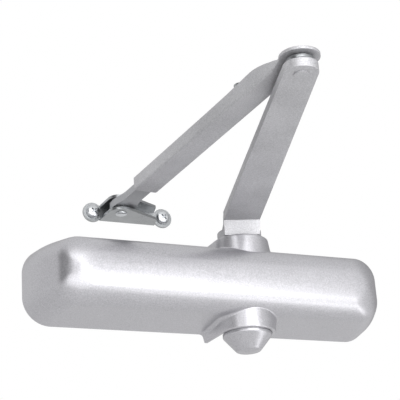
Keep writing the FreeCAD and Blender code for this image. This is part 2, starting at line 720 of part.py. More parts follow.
def adjusting_rod():
    tip = REACH + ROD_EYE_R
    low, high = -ROD_HALF - CHANNEL_SHIFT, ROD_HALF - CHANNEL_SHIFT
    outline = [(ROD_INNER_END, low), (REACH - 24, low), (REACH - 8, -ROD_EYE_R), (tip, -ROD_EYE_R),
               (tip, ROD_EYE_R), (REACH - 8, ROD_EYE_R), (REACH - 24, high), (ROD_INNER_END, high)]
    bends = [1.5, 10, 10, ROD_EYE_R - 0.1]
    rod = prism(outline, bends + bends[::-1], ROD_Z, ROD_Z + ROD_THICK)
    return on_forearm(rod.cut(rod_z(SHOE_RIVET_R + 0.1, 0, 100, Vector(REACH, 0, 0))))


FLANGE_LOW = SHOE_Z - SHOE_HALF_HEIGHT
FLANGE_TOP = SHOE_Z + SHOE_HALF_HEIGHT


def shoe():
    right = SHOE_X + FLANGE_RIGHT
    left = SHOE_PIVOT_X - FLANGE_NOSE_R
    nose = SHOE_PIVOT_Y - FLANGE_NOSE_R
    outline = [(left - 1.8, 0), (left, nose), (SHOE_PIVOT_X + 2.6, nose),
               (right - 3.0, -FLANGE_RIGHT_DEPTH), (right, 0)]
    bends = [0, FLANGE_NOSE_R - 0.5, FLANGE_NOSE_R - 0.5, 3.0, 0]
    lower = prism(outline, bends, FLANGE_LOW, FLANGE_LOW + SHOE_WALL)
    upper = prism(outline, bends, FLANGE_TOP - SHOE_WALL, FLANGE_TOP)
    web = block((left - 1.6, -SHOE_WALL, FLANGE_LOW), (right - 0.2, 0, FLANGE_TOP))
    bracket = web.fuse(lower).fuse(upper)
    half = SHOE_SPACING / 2
    bracket = bracket.fuse(block((SHOE_X - half, -SHOE_WALL, SHOE_Z - 5), (SHOE_X + half, 0, SHOE_Z + 5)))
    for x in (SHOE_X - half, SHOE_X + half):
        bracket = bracket.fuse(rod_y(EAR_R, -SHOE_WALL, 0, x, SHOE_Z))
    for x in (SHOE_X - half, SHOE_X + half):
        bracket = bracket.cut(rod_y(EAR_HOLE_R, -SHOE_WALL - 1, 1, x, SHOE_Z))
    bracket = bracket.cut(rod_z(SHOE_RIVET_R + SEAT_GAP, 0, 100, SHOE_PIVOT))
    return bracket.removeSplitter()


def shoe_washers():
    lower = tube_z(7.5, SHOE_RIVET_R + SEAT_GAP, FLANGE_LOW + SHOE_WALL + SEAT_GAP, 64.1, SHOE_PIVOT)
    upper = tube_z(7.5, SHOE_RIVET_R + SEAT_GAP, 70.75, FLANGE_TOP - SHOE_WALL - SEAT_GAP, SHOE_PIVOT)
    return Part.makeCompound([lower, upper])


def shoe_rivet():
    low, high = FLANGE_LOW - SEAT_GAP, FLANGE_TOP + SEAT_GAP
    profile = [(0, low - 1.4), (2.6, low - 1.2), (4.4, low - 0.5), (4.9, low), (SHOE_RIVET_R, low),
               (SHOE_RIVET_R, high), (4.9, high), (4.4, high + 0.5), (2.6, high + 1.2), (0, high + 1.4)]
    return turned(profile, SHOE_PIVOT)


def shoe_screw(x):
    """Pan-head cross-recess screw, head towards the viewer, shank through the ear."""
    head = turned([(0, 0), (5.7, 0), (5.7, 1.6), (5.0, 3.0), (3.4, 3.8), (0, 4.1)])
    for angle in (45, 135):
        wing = Part.makeBox(6.0, 1.3, 3.0, Vector(-3.0, -0.65, 2.0))
        wing.rotate(ORIGIN, Z_AXIS, angle)
        head = head.cut(wing)
    head.rotate(ORIGIN, X_AXIS, 90)
    head.translate(Vector(x, -SHOE_WALL - SEAT_GAP, SHOE_Z))
    neck = rod_y(SCREW_NECK_R, -SHOE_WALL - SEAT_GAP, 0, x, SHOE_Z)
    shank = rod_y(SHANK_R, 0, SHANK_END, x, SHOE_Z)
    tip = Part.makeCone(SHANK_R, 1.6, 2.0, Vector(x, SHANK_END, SHOE_Z), Y_AXIS)
    return head.fuse(neck).fuse(shank).fuse(tip)


def shoe_screws():
    half = SHOE_SPACING / 2
    return Part.makeCompound([shoe_screw(SHOE_X - half), shoe_screw(SHOE_X + half)])


# ---- the parts ----------------------------------------------------------------------

def main():
    save("cover", cover())
    save("body_housing", body_housing())
    save("upper_bearing", pinion_bearing())
    save("lower_bearing", mirrored_z(pinion_bearing()))
    save("upper_packing_nut", packing_nut())
    save("lower_packing_nut", mirrored_z(packing_nut()))
    save("pinion_seals", pinion_seals())
    save("pinion_cap", pinion_cap())
    save("left_end_cap", on_left_end(end_cap(SCREW_R + RUN_GAP)))
    save("right_end_cap", on_right_end(end_cap(0)))
    save("end_cap_rings", Part.makeCompound([on_left_end(end_ring()), on_right_end(end_ring())]))
    save("cover_clips", Part.makeCompound([cover_clip(1), cover_clip(-1)]))
    save("clip_screws", Part.makeCompound([clip_screw(1), clip_screw(-1)]))
    save("pinion", pinion())
    save("rack_piston", rack_piston())
    save("piston_rings", piston_rings())
    save("check_ball", check_ball())
    save("check_plug", check_plug())
    save("closing_spring", closing_spring())
    save("spring_seat", spring_seat())
    save("power_screw", power_screw())
    for name, x in VALVES.items():
        save(name, valve(x))
        save(name + "_ring", valve_ring(x))
    save("main_arm", main_arm())
    save("arm_washer", arm_washer())
    save("arm_screw", arm_screw())
    save("elbow_pin", elbow_pin())
    save("elbow_bush", elbow_bush())
    save("forearm", forearm())
    save("clamp_block", clamp_block())
    save("clamp_screw", clamp_screw())
    save("adjusting_rod", adjusting_rod())
    save("shoe", shoe())
    save("shoe_washers", shoe_washers())
    save("shoe_rivet", shoe_rivet())
    save("shoe_screws", shoe_screws())


main()
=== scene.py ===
import json
import math

import bmesh
import bpy
from mathutils import Matrix, Vector
from mathutils.bvhtree import BVHTree


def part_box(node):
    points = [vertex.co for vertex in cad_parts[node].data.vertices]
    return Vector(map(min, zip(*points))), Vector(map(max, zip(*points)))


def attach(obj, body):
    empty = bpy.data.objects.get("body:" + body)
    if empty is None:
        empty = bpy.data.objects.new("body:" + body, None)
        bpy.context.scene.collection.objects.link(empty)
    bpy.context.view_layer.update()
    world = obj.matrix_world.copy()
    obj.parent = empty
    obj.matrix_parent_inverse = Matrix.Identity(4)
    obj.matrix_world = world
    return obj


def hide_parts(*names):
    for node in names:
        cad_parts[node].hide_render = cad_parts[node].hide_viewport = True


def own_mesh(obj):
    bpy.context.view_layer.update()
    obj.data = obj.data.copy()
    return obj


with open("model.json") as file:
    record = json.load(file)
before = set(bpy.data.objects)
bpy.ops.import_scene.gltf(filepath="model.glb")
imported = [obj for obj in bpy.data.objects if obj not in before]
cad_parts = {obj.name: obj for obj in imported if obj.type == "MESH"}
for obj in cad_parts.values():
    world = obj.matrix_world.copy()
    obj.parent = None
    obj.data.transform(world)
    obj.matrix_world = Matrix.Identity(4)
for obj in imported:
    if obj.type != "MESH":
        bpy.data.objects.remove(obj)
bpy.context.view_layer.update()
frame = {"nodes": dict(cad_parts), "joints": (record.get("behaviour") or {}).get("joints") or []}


# ---- finishes of the pieces inside -------------------------------------------------------
# The closer's hydraulic body is a light alloy casting, bored right through. Round it and in it
# are turned steel, bronze, rubber and a coiled steel spring. They show from the door's side only.

MM = 0.001


class Signal:
    """An output of a shader node. Arithmetic on it adds Math nodes to the same material."""

    def __init__(self, tree, socket=None):
        self.tree = tree
        self.socket = socket

    def node(self, kind, settings=None, inputs=None, output=0):
        """Adds any other node: its settings are made first, then its sockets are set or linked."""
        made = self.tree.nodes.new(kind)
        for name, value in (settings or {}).items():
            setattr(made, name, value)
        for name, value in (inputs or {}).items():
            if isinstance(value, Signal):
                self.tree.links.new(value.socket, made.inputs[name])
            else:
                made.inputs[name].default_value = value
        return Signal(self.tree, made.outputs[output] if made.outputs else None)

    def math(self, operation, *values):
        return self.node("ShaderNodeMath", {"operation": operation}, dict(enumerate(values)))

    def __add__(self, other):
        return self.math("ADD", self, other)

    def __sub__(self, other):
        return self.math("SUBTRACT", self, other)

    def __rsub__(self, other):
        return self.math("SUBTRACT", other, self)

    def __mul__(self, other):
        return self.math("MULTIPLY", self, other)

    __radd__ = __add__
    __rmul__ = __mul__


def new_finish(name):
    """An empty material: its start signal, its Object coordinates and its Principled shader."""
    material = bpy.data.materials.new(name)
    material.use_nodes = True
    tree = material.node_tree
    tree.nodes.clear()
    start = Signal(tree)
    place = start.node("ShaderNodeTexCoord", output="Object")
    shader = start.node("ShaderNodeBsdfPrincipled")
    start.node("ShaderNodeOutputMaterial", inputs={"Surface": shader})
    return material, place, shader


def noise(place, cells, detail=2.0, roughness=0.5):
    """Cloudy noise, from 0 to 1, of so many cells to the metre."""
    inputs = {"Vector": place, "Scale": cells, "Detail": detail, "Roughness": roughness}
    return place.node("ShaderNodeTexNoise", inputs=inputs, output="Fac")


# The Mix node has its sockets once for each kind of data, so those for colours go by number.
MIX_LOW, MIX_HIGH, MIX_RESULT = 6, 7, 2


def between(low, high, share):
    """A colour that goes from low to high with the share."""
    settings = {"data_type": "RGBA"}
    inputs = {"Factor": share, MIX_LOW: (*low, 1), MIX_HIGH: (*high, 1)}
    return share.node("ShaderNodeMix", settings, inputs, output=MIX_RESULT)


def bump(height, depth, strength=1.0):
    """A surface normal from a height of 0 to 1, as deep as depth in metres."""
    return height.node("ShaderNodeBump", inputs={"Height": height, "Distance": depth, "Strength": strength})


def dress(shader, links, values):
    """Links what varies over the surface to the shader and sets what doesn't."""
    node = shader.socket.node
    for name, signal in links.items():
        shader.tree.links.new(signal.socket, node.inputs[name])
    for name, value in values.items():
        node.inputs[name].default_value = value


def cast_metal():
    """Sand-cast light alloy: a pitted skin with slow clouds of darker grey."""
    material, place, shader = new_finish("cast_metal")
    dark, light = (0.30, 0.30, 0.31), (0.46, 0.46, 0.47)
    grain = noise(place, cells=700.0, detail=4.0, roughness=0.65)
    cloud = noise(place, cells=35.0, detail=3.0)
    links = {"Base Color": between(dark, light, grain * 0.6 + cloud * 0.4),
             "Roughness": grain * 0.2 + 0.42,
             "Normal": bump(grain, depth=0.15 * MM, strength=0.8)}
    dress(shader, links, {"Metallic": 0.85})
    return material


def turned_metal(name, dark, light, roughness, axis):
    """Lathe-turned metal with fine rings about one of the object's axes."""
    material, place, shader = new_finish(name)
    marks_per_metre = [40.0, 40.0, 40.0]
    marks_per_metre[axis] = 2500.0
    marks = place.node("ShaderNodeMapping", inputs={"Vector": place, "Scale": marks_per_metre})
    rings = noise(marks, cells=1.0)
    cloud = noise(place, cells=60.0, detail=3.0)
    links = {"Base Color": between(dark, light, rings * 0.5 + cloud * 0.5),
             "Roughness": rings * 0.15 + roughness,
             "Normal": bump(rings, depth=0.03 * MM, strength=0.6)}
    dress(shader, links, {"Metallic": 1.0})
    return material


def oiled_spring():
    """Dark oil-hardened steel with a mottled, slightly glossy scale."""
    material, place, shader = new_finish("oiled_spring")
    dark, light = (0.06, 0.065, 0.075), (0.17, 0.18, 0.20)
    mottle = noise(place, cells=260.0, detail=4.0, roughness=0.7)
    links = {"Base Color": between(dark, light, mottle),
             "Roughness": mottle * 0.2 + 0.3,
             "Normal": bump(mottle, depth=0.05 * MM, strength=0.5)}
    dress(shader, links, {"Metallic": 0.9})
    return material


def moulded_rubber():
    """Black sealing rubber with the fine grain of its mould."""
    material, place, shader = new_finish("moulded_rubber")
    dark, light = (0.012, 0.012, 0.013), (0.03, 0.03, 0.032)
    grain = noise(place, cells=900.0, detail=3.0)
    links = {"Base Color": between(dark, light, grain),
             "Roughness": grain * 0.15 + 0.55,
             "Normal": bump(grain, depth=0.04 * MM, strength=0.5)}
    dress(shader, links, {})
    return material


def finish_nodes(material, *names):
    """Gives CAD nodes that keep their shape a finish."""
    for name in names:
        node = frame["nodes"][name]
        if not node.material_slots:
            node.data.materials.append(material)
        for spot in node.material_slots:
            spot.material = material


ALONG_BORE, UPRIGHT = 0, 2
STEEL_DARK, STEEL_LIGHT = (0.42, 0.43, 0.45), (0.60, 0.61, 0.63)
STEEL_GLOSS = 0.22
STEEL_X = turned_metal("steel_turned_along", STEEL_DARK, STEEL_LIGHT, STEEL_GLOSS, ALONG_BORE)
STEEL_Z = turned_metal("steel_turned_upright", STEEL_DARK, STEEL_LIGHT, STEEL_GLOSS, UPRIGHT)
BRONZE = turned_metal("bearing_bronze", (0.45, 0.27, 0.12), (0.62, 0.41, 0.19), 0.28, UPRIGHT)
SPRING = oiled_spring()
RUBBER = moulded_rubber()
finish_nodes(cast_metal(), "body_housing")
finish_nodes(STEEL_X, "left_end_cap", "right_end_cap", "rack_piston", "spring_seat", "check_ball")
finish_nodes(STEEL_Z, "pinion", "upper_packing_nut", "lower_packing_nut")
finish_nodes(BRONZE, "upper_bearing", "lower_bearing", "check_plug")
finish_nodes(BRONZE, "sweep_valve", "latch_valve", "backcheck_valve")
finish_nodes(SPRING, "cover_clips")
finish_nodes(RUBBER, "end_cap_rings", "pinion_seals", "piston_rings")
finish_nodes(RUBBER, "sweep_valve_ring", "latch_valve_ring", "backcheck_valve_ring")


# ---- closing spring ----------------------------------------------------------------------
# A coil of oil-hardened wire between the spring seat and the piston. Its first turns close up as
# the power screw drives the seat in, and the rest as the piston is driven along the bore.

JOINTS = {joint["name"]: joint for joint in frame["joints"]}
SEAT_END_LENGTH = 25 * MM
SPRING_LOW, SPRING_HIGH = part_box("closing_spring")
SPRING_SPLIT = SPRING_LOW.x + SEAT_END_LENGTH


def select_only(piece):
    bpy.ops.object.select_all(action="DESELECT")
    bpy.context.view_layer.objects.active = piece
    piece.select_set(True)


def edit_all(piece):
    """Goes into edit mode on this piece alone, with all of it selected."""
    select_only(piece)
    bpy.ops.object.mode_set(mode="EDIT")
    bpy.ops.mesh.select_all(action="SELECT")


def copy_of(node, name):
    """A copy of a CAD node's mesh with its loose triangles merged."""
    piece = bpy.data.objects.new(name, frame["nodes"][node].data.copy())
    bpy.context.scene.collection.objects.link(piece)
    edit_all(piece)
    bpy.ops.mesh.remove_doubles(threshold=0.002 * MM)
    bpy.ops.object.mode_set(mode="OBJECT")
    return piece


def hand_over(piece, material, body, slot, *nodes):
    """Puts the piece's place in its mesh, finishes it and fastens it to its body."""
    select_only(piece)
    bpy.ops.object.transform_apply(location=True, rotation=True, scale=True)
    piece.data.materials.clear()
    piece.data.materials.append(material)
    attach(piece, body)
    if nodes:
        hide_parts(*nodes)


def spring_turns(name, clear_left):
    """The turns on one side of the split, fastened to the housing."""
    turns = copy_of("closing_spring", name)
    edit_all(turns)
    bpy.ops.mesh.bisect(plane_co=(SPRING_SPLIT, 0, 0), plane_no=(1, 0, 0), use_fill=True,
                        threshold=0.001 * MM, clear_inner=clear_left, clear_outer=not clear_left)
    bpy.ops.object.mode_set(mode="OBJECT")
    bpy.ops.object.shade_smooth()
    hand_over(turns, SPRING, "housing", "spring_steel", "closing_spring")
    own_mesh(turns)


spring_turns("spring_coil_seat_end", False)
spring_turns("spring_coil_piston_end", True)


# ---- cover -------------------------------------------------------------------------------
# One deep shell of satin silver painted alloy, with rounded front edges, slanted ends and a
# horseshoe boss above and below for the pinion. It snaps over two clips on the body's foot.

COVER_LOW, COVER_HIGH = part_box("cover")
COVER_HALF_LENGTH = COVER_HIGH.x
COVER_DEPTH = -COVER_LOW.y
COVER_HALF_HEIGHT = 32.5 * MM
COVER_WALL = 2.6 * MM
DRAFT = math.tan(math.radians(5.8))
END_DRAFT = math.tan(math.radians(7.7))
END_KNEE = 22.7 * MM
KNEE_SOFT = 11.0 * MM
KNEE_SHARES = (-1, -0.6, -0.2, 0.2, 0.6, 1)
RING_BEFORE_KNEE, RING_AFTER_KNEE = 6 * MM, 38 * MM
END_INSET = 20.5 * MM
EDGE_R = 16.7 * MM
END_R = 14.0 * MM
CORNER_BACK_R = 23.0 * MM
CORNER_FRONT_R = 17.3 * MM
CROWN = 0.4 * MM
CROWN_STEPS = (0.8, 0.6, 0.4, 0.2)
COVER_STEPS = 48
EDGE_ANGLES = (*range(9, 82, 8), 86)
# Where the cover's long faces are cut across, in millimetres along it from the pinion.
COVER_CUTS = (-130, -90, -60, -46, -38, -33, -30, -20, -10, 0, 10, 20, 30, 33, 38, 46, 60, 90)
NEAR = 0.001 * MM

PINION_LOW, PINION_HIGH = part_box("pinion")
PINION = (PINION_LOW + PINION_HIGH) / 2
BOSS_RIM_R = 23.3 * MM
BOSS_RIM_Z = COVER_HIGH.z
BOSS_RIM_ROUND = 1.2 * MM
BOSS_BASE_R = 26.6 * MM
BOSS_BASE_Z = 22.0 * MM
BOSS_LEAN = (BOSS_BASE_R - BOSS_RIM_R) / (BOSS_RIM_Z - BOSS_BASE_Z)
BOSS_FLARE = 1.4 * MM
BOSS_LEG_STEPS = 8
BOSS_ARC_STEPS = 28
# Radius of the fillet round the boss's foot, at its front and along its legs.
BOSS_FILLET = (0.9 * MM, 3.6 * MM)
BOSS_FILLET_STEPS = 8
BOSS_TOE = 1.2 * MM
BOSS_TOE_SINK = 0.35 * MM
BOSS_ROOT_Z = -4 * MM
SLOT_R = 20.7 * MM


def begin(name, add, **place):
    """Adds a primitive with nothing else selected and goes into edit mode on it."""
    bpy.ops.object.select_all(action="DESELECT")
    add(**place)
    piece = bpy.context.object
    piece.name = name
    piece.data.name = name
    bpy.ops.object.mode_set(mode="EDIT")
    return piece


def pick(piece, kind, test):
    """Selects the vertices, edges or faces of the mesh in edit mode that pass the test."""
    bpy.ops.mesh.select_mode(type=kind)
    bpy.ops.mesh.select_all(action="DESELECT")
    mesh = bmesh.from_edit_mesh(piece.data)
    parts = {"VERT": mesh.verts, "EDGE": mesh.edges, "FACE": mesh.faces}[kind]
    for part in parts:
        if test(part):
            part.select_set(True)
    mesh.select_flush_mode()
    bmesh.update_edit_mesh(piece.data)


def settle(piece):
    """Puts a new primitive's place in its mesh, and goes back to edit mode with all selected."""
    bpy.ops.object.mode_set(mode="OBJECT")
    bpy.ops.object.transform_apply(location=True, rotation=True, scale=True)
    edit_all(piece)


def extrude(x=0.0, y=0.0, z=0.0):
    bpy.ops.mesh.extrude_region_move(TRANSFORM_OT_translate={"value": (x, y, z)})


def shift(x=0.0, y=0.0, z=0.0):
    bpy.ops.transform.translate(value=(x, y, z))


def scale(x, y, z, centre):
    bpy.ops.transform.resize(value=(x, y, z), center_override=centre)


def done():
    """Back to object mode with every face turned outwards."""
    bpy.ops.mesh.select_all(action="SELECT")
    bpy.ops.mesh.normals_make_consistent(inside=False)
    bpy.ops.object.mode_set(mode="OBJECT")


def apply_modifier(piece, kind, **settings):
    select_only(piece)
    modifier = piece.modifiers.new(kind.lower(), kind)
    for name, value in settings.items():
        setattr(modifier, name, value)
    bpy.ops.object.modifier_apply(modifier=modifier.name)


def join_or_cut(piece, operation, other):
    """Joins another solid to the piece or cuts it away, and removes the other."""
    apply_modifier(piece, "BOOLEAN", operation=operation, object=other, solver="EXACT")
    bpy.data.objects.remove(other)


def close_slivers(piece, width):
    """Closes up the faces and edges that are thinner than the width."""
    edit_all(piece)
    bpy.ops.mesh.dissolve_degenerate(threshold=width)
    bpy.ops.object.mode_set(mode="OBJECT")


def smooth(piece, degrees, weigh=True):
    """Shades the piece smooth over edges flatter than this. Weighing keeps its large faces flat."""
    select_only(piece)
    bpy.ops.object.shade_smooth_by_angle(angle=math.radians(degrees))
    if weigh:
        apply_modifier(piece, "WEIGHTED_NORMAL", keep_sharp=True, weight=50)


def rounding(depth, radius, full_depth):
    """How far a wall has come in where the front edge is rounded off."""
    into = min(max(depth - (full_depth - radius), 0), radius)
    return radius - math.sqrt(radius ** 2 - into ** 2)


def cover_ring(depth, wall):
    """Half length, half height and corner radius of the cover at this depth from the door."""
    full_depth = COVER_DEPTH - CROWN - wall
    slant = (END_INSET - END_KNEE * END_DRAFT) / (COVER_DEPTH - END_KNEE)
    past = min(max(depth - END_KNEE + KNEE_SOFT, 0), 2 * KNEE_SOFT)
    bent = past ** 2 / (4 * KNEE_SOFT) + max(depth - END_KNEE - KNEE_SOFT, 0)
    half_x = COVER_HALF_LENGTH - wall - depth * END_DRAFT - bent * (slant - END_DRAFT)
    half_x -= rounding(depth, END_R - wall, full_depth)
    half_z = COVER_HALF_HEIGHT - wall - depth * DRAFT - rounding(depth, EDGE_R - wall, full_depth)
    corner = CORNER_BACK_R + (CORNER_FRONT_R - CORNER_BACK_R) * max(depth, 0) / COVER_DEPTH - wall
    return half_x, half_z, min(corner, half_z * 0.98)


def cover_form(name, wall, start):
    """Solid cover: a round disc whose quarters are pulled apart to the corners of each ring."""
    full_depth = COVER_DEPTH - CROWN - wall
    radius = EDGE_R - wall
    straight = full_depth - radius
    depths = [start, RING_BEFORE_KNEE] + [END_KNEE + KNEE_SOFT * share for share in KNEE_SHARES]
    depths += [RING_AFTER_KNEE, straight - 2 * MM, straight]
    depths += [straight + radius * math.sin(math.radians(angle)) for angle in EDGE_ANGLES]
    old_corner = cover_ring(start, wall)[2]
    piece = begin(name, bpy.ops.mesh.primitive_circle_add, vertices=COVER_STEPS, radius=old_corner,
                  fill_type="NGON", location=(0, -start, 0), rotation=(math.radians(90), 0, 0))
    settle(piece)
    half_step = math.radians(180 / COVER_STEPS)
    bpy.ops.transform.rotate(value=half_step, orient_axis="Y", center_override=(0, -start, 0))
    old_x, old_z = old_corner, old_corner
    for step, depth in enumerate(depths):
        if step:
            pick(piece, "FACE", lambda f: f.calc_center_median().y < -depths[step - 1] + NEAR)
            extrude(y=depths[step - 1] - depth)
        half_x, half_z, corner = cover_ring(depth, wall)
        for side_x in (-1, 1):
            for side_z in (-1, 1):
                pick(piece, "VERT", lambda v: abs(v.co.y + depth) < NEAR
                     and v.co.x * side_x > 0 and v.co.z * side_z > 0)
                centre = (side_x * (old_x - old_corner), -depth, side_z * (old_z - old_corner))
                scale(corner / old_corner, 1, corner / old_corner, centre)
                shift(x=side_x * (half_x - corner - old_x + old_corner),
                      z=side_z * (half_z - corner - old_z + old_corner))
        old_x, old_z, old_corner = half_x, half_z, corner
    last = 1.0
    for share in CROWN_STEPS:
        depth = depths[-1] + CROWN * (1 - last ** 2)
        pick(piece, "FACE", lambda f: abs(f.calc_center_median().y + depth) < NEAR)
        extrude(y=-CROWN * (last ** 2 - share ** 2))
        front = (half_x - half_z * (1 - share)) / (half_x - half_z * (1 - last))
        scale(front, 1, share / last, (0, -depth, 0))
        last = share
    for cut in COVER_CUTS:
        bpy.ops.mesh.select_all(action="SELECT")
        bpy.ops.mesh.bisect(plane_co=(PINION.x + cut * MM, 0, 0), plane_no=(1, 0, 0))
    done()
    return piece


def boss_outline(radius):
    """The horseshoe at this radius, from the door down one leg, round the pinion and back up the
    other: for each point its place and the way it faces."""
    legs = []
    for side in (-1, 1):
        leg = []
        for step in range(BOSS_LEG_STEPS + 1):
            share = step / BOSS_LEG_STEPS
            out = side * (radius + BOSS_FLARE * share ** 1.6)
            leg.append((Vector((PINION.x + out, PINION.y * (1 - share), 0)), Vector((side, 0, 0))))
        legs.append(leg)
    bend = []
    for step in range(1, BOSS_ARC_STEPS):
        angle = math.pi * (1 + step / BOSS_ARC_STEPS)
        way = Vector((math.cos(angle), math.sin(angle), 0))
        bend.append((Vector((PINION.x, PINION.y, 0)) + way * radius, way))
    return legs[0][::-1] + bend + legs[1]


def fillet_section(surface, place, way):
    """Section of the boss through one point of its outline: (distance out, height) pairs from
    inside the cover, out along the cover's skin, up a rolling-ball fillet and up the wall."""
    sideways = 1 - way.y ** 2
    lean = BOSS_LEAN * sideways
    fillet = BOSS_FILLET[0] + (BOSS_FILLET[1] - BOSS_FILLET[0]) * sideways
    above, missed = 60 * MM, -10 * MM
    skin = []
    for quarter_mm in range(-12, 49):
        out = quarter_mm * 0.25 * MM
        spot = place + way * out
        spot.y = min(spot.y, -0.01 * MM)
        hit = surface.ray_cast(Vector((spot.x, spot.y, above)), Vector((0, 0, -1)))[0]
        skin.append((out, hit.z if hit else missed))
    # The ball rolls down the leaning wall until it rests on the skin: a few rounds settle it.
    height = 30 * MM
    for _ in range(12):
        ball = (BOSS_RIM_Z - height) * lean + fillet * math.hypot(1, lean)
        rests = []
        for out, top in skin:
            if abs(out - ball) < fillet:
                rests.append((top + math.sqrt(fillet ** 2 - (out - ball) ** 2), out, top))
        height, touch_out, touch_top = max(rests)
    start = math.atan2(touch_top - height, touch_out - ball)
    end = -math.pi + math.atan(lean)
    toe_out = touch_out - math.sin(start) * BOSS_TOE
    toe_top = touch_top + math.cos(start) * BOSS_TOE - BOSS_TOE_SINK
    section = [(toe_out, BOSS_ROOT_Z), (toe_out, toe_top)]
    for step in range(BOSS_FILLET_STEPS + 1):
        angle = start + (end - start) * step / BOSS_FILLET_STEPS
        section.append((ball + fillet * math.cos(angle), height + fillet * math.sin(angle)))
    for angle in range(0, 91, 30):
        bend = math.radians(angle)
        section.append((lean * BOSS_RIM_ROUND - BOSS_RIM_ROUND * (1 - math.cos(bend)),
                        BOSS_RIM_Z - BOSS_RIM_ROUND * (1 - math.sin(bend))))
    return section


def boss(name, surface, side):
    """The horseshoe boss above (side 1) or below (side -1), its sections joined into one solid."""
    mesh = bmesh.new()
    rings = []
    for place, way in boss_outline(BOSS_RIM_R):
        ring = []
        for out, height in fillet_section(surface, place, way):
            spot = place + way * out
            ring.append(mesh.verts.new((spot.x, spot.y, side * height)))
        rings.append(ring)
    for one, other in zip(rings, rings[1:]):
        for i in range(len(one) - 1):
            mesh.faces.new((one[i], one[i + 1], other[i + 1], other[i]))
    mesh.faces.new([ring[0] for ring in rings])
    mesh.faces.new([ring[-1] for ring in rings])
    for i in range(len(rings[0]) - 1):
        mesh.faces.new((rings[0][i], rings[0][i + 1], rings[-1][i + 1], rings[-1][i]))
    bmesh.ops.recalc_face_normals(mesh, faces=mesh.faces)
    data = bpy.data.meshes.new(name)
    mesh.to_mesh(data)
    mesh.free()
    piece = bpy.data.objects.new(name, data)
    bpy.context.scene.collection.objects.link(piece)
    return piece


def horseshoe_cutter(radius):
    """A tall horseshoe block that clears the pinion and runs out through the cover's back."""
    piece = begin("slot", bpy.ops.mesh.primitive_cylinder_add, vertices=80, radius=radius,
                  depth=2.2 * BOSS_RIM_Z, location=(PINION.x, PINION.y, 0))
    bpy.ops.mesh.bisect(plane_co=(PINION.x, PINION.y, 0), plane_no=(0, 1, 0), clear_outer=True,
                        use_fill=True)
    pick(piece, "FACE", lambda f: f.normal.y > 0.99)
    extrude(y=-PINION.y + MM)
    scale((radius + BOSS_FLARE) / radius, 1, 1, (PINION.x, 0, 0))
    done()
    return piece


def satin_paint(name, dark, light, metallic, roughness, clouds=0.25):
    """Silver paint: fine aluminium flake in a satin binder, with slow clouds from spraying; where the clouds
    are made strong they are painted sheen.
    """
    material, place, shader = new_finish(name)
    flake = noise(place, cells=1100.0, detail=3.0, roughness=0.7)
    peel = noise(place, cells=380.0)
    cloud = noise(place, cells=18.0, detail=3.0)
    speckle = flake * 2.4 - 0.7
    # The clouds' share of the colour is set by clouds: small, it is spray cloudiness; large, it is painted
    # sheen.
    links = {"Base Color": between(dark, light, speckle * 0.75 + (cloud - 0.5) * clouds + 0.125),
             "Roughness": flake * 0.16 + cloud * 0.06 + roughness,
             "Normal": bump(flake * 0.5 + peel * 0.5, depth=0.06 * MM, strength=0.12)}
    dress(shader, links, {"Metallic": metallic})
    return material


COVER_PAINT = satin_paint("satin_silver_paint", (0.335, 0.332, 0.35), (0.60, 0.595, 0.625),
                          metallic=0.74, roughness=0.22)
cover = cover_form("cover_shell", wall=0.0, start=0.0)
cover_skin = BVHTree.FromObject(cover, bpy.context.evaluated_depsgraph_get())
bosses = [boss("upper_boss", cover_skin, 1), boss("lower_boss", cover_skin, -1)]
for horseshoe in bosses:
    join_or_cut(cover, "UNION", horseshoe)
join_or_cut(cover, "DIFFERENCE", cover_form("cover_inside", wall=COVER_WALL, start=-MM))
join_or_cut(cover, "DIFFERENCE", horseshoe_cutter(SLOT_R))
close_slivers(cover, 0.001 * MM)
smooth(cover, 32)
hand_over(cover, COVER_PAINT, "housing", "cover_paint", "cover")


# ---- pinion cap --------------------------------------------------------------------------
# A thin cone pressed from steel sheet, in the cover's paint. Its collar is pushed onto the lower
# nut, and it hides the end of the pinion that the arm isn't on.

CAP_LOW, CAP_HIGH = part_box("pinion_cap")
CAP_TOP, CAP_TIP = CAP_HIGH.z, CAP_LOW.z
CAP_R = (CAP_HIGH.x - CAP_LOW.x) / 2
CAP_STEPS = 72
CONE_STEPS = 6
# In millimetres: the skirt and the cone's top in from the rim and down from the cap's top, and the
# cone's foot and the tip out from the middle and up from the tip's end.
SKIRT = ((1.6, 2.3), (0.5, 2.3), (0, 2.9), (0, 5.0), (0.15, 5.6), (0.6, 6.2))
CONE_TOP = (0.9, 6.6)
CONE_LOW = (10.9, 2.5)
TIP = ((10.5, 2.0), (9.9, 1.5), (9.0, 1.1), (7.0, 0.7), (4.5, 0.3), (2.0, 0.05), (0, 0))
TIP_INSIDE = ((0, 2.0), (8.0, 2.7))
SKIRT_INSIDE = ((1.9, 4.9), (1.6, 2.3))
CONE_INSIDE_TOP = (16.4 * MM, CAP_TOP - 6.9 * MM)
COLLAR_IN, COLLAR_OUT = 13.97 * MM, 15.6 * MM
COLLAR_FOOT_IN, COLLAR_FOOT_OUT = CAP_TOP - 10.2 * MM, CAP_TOP - 8.2 * MM


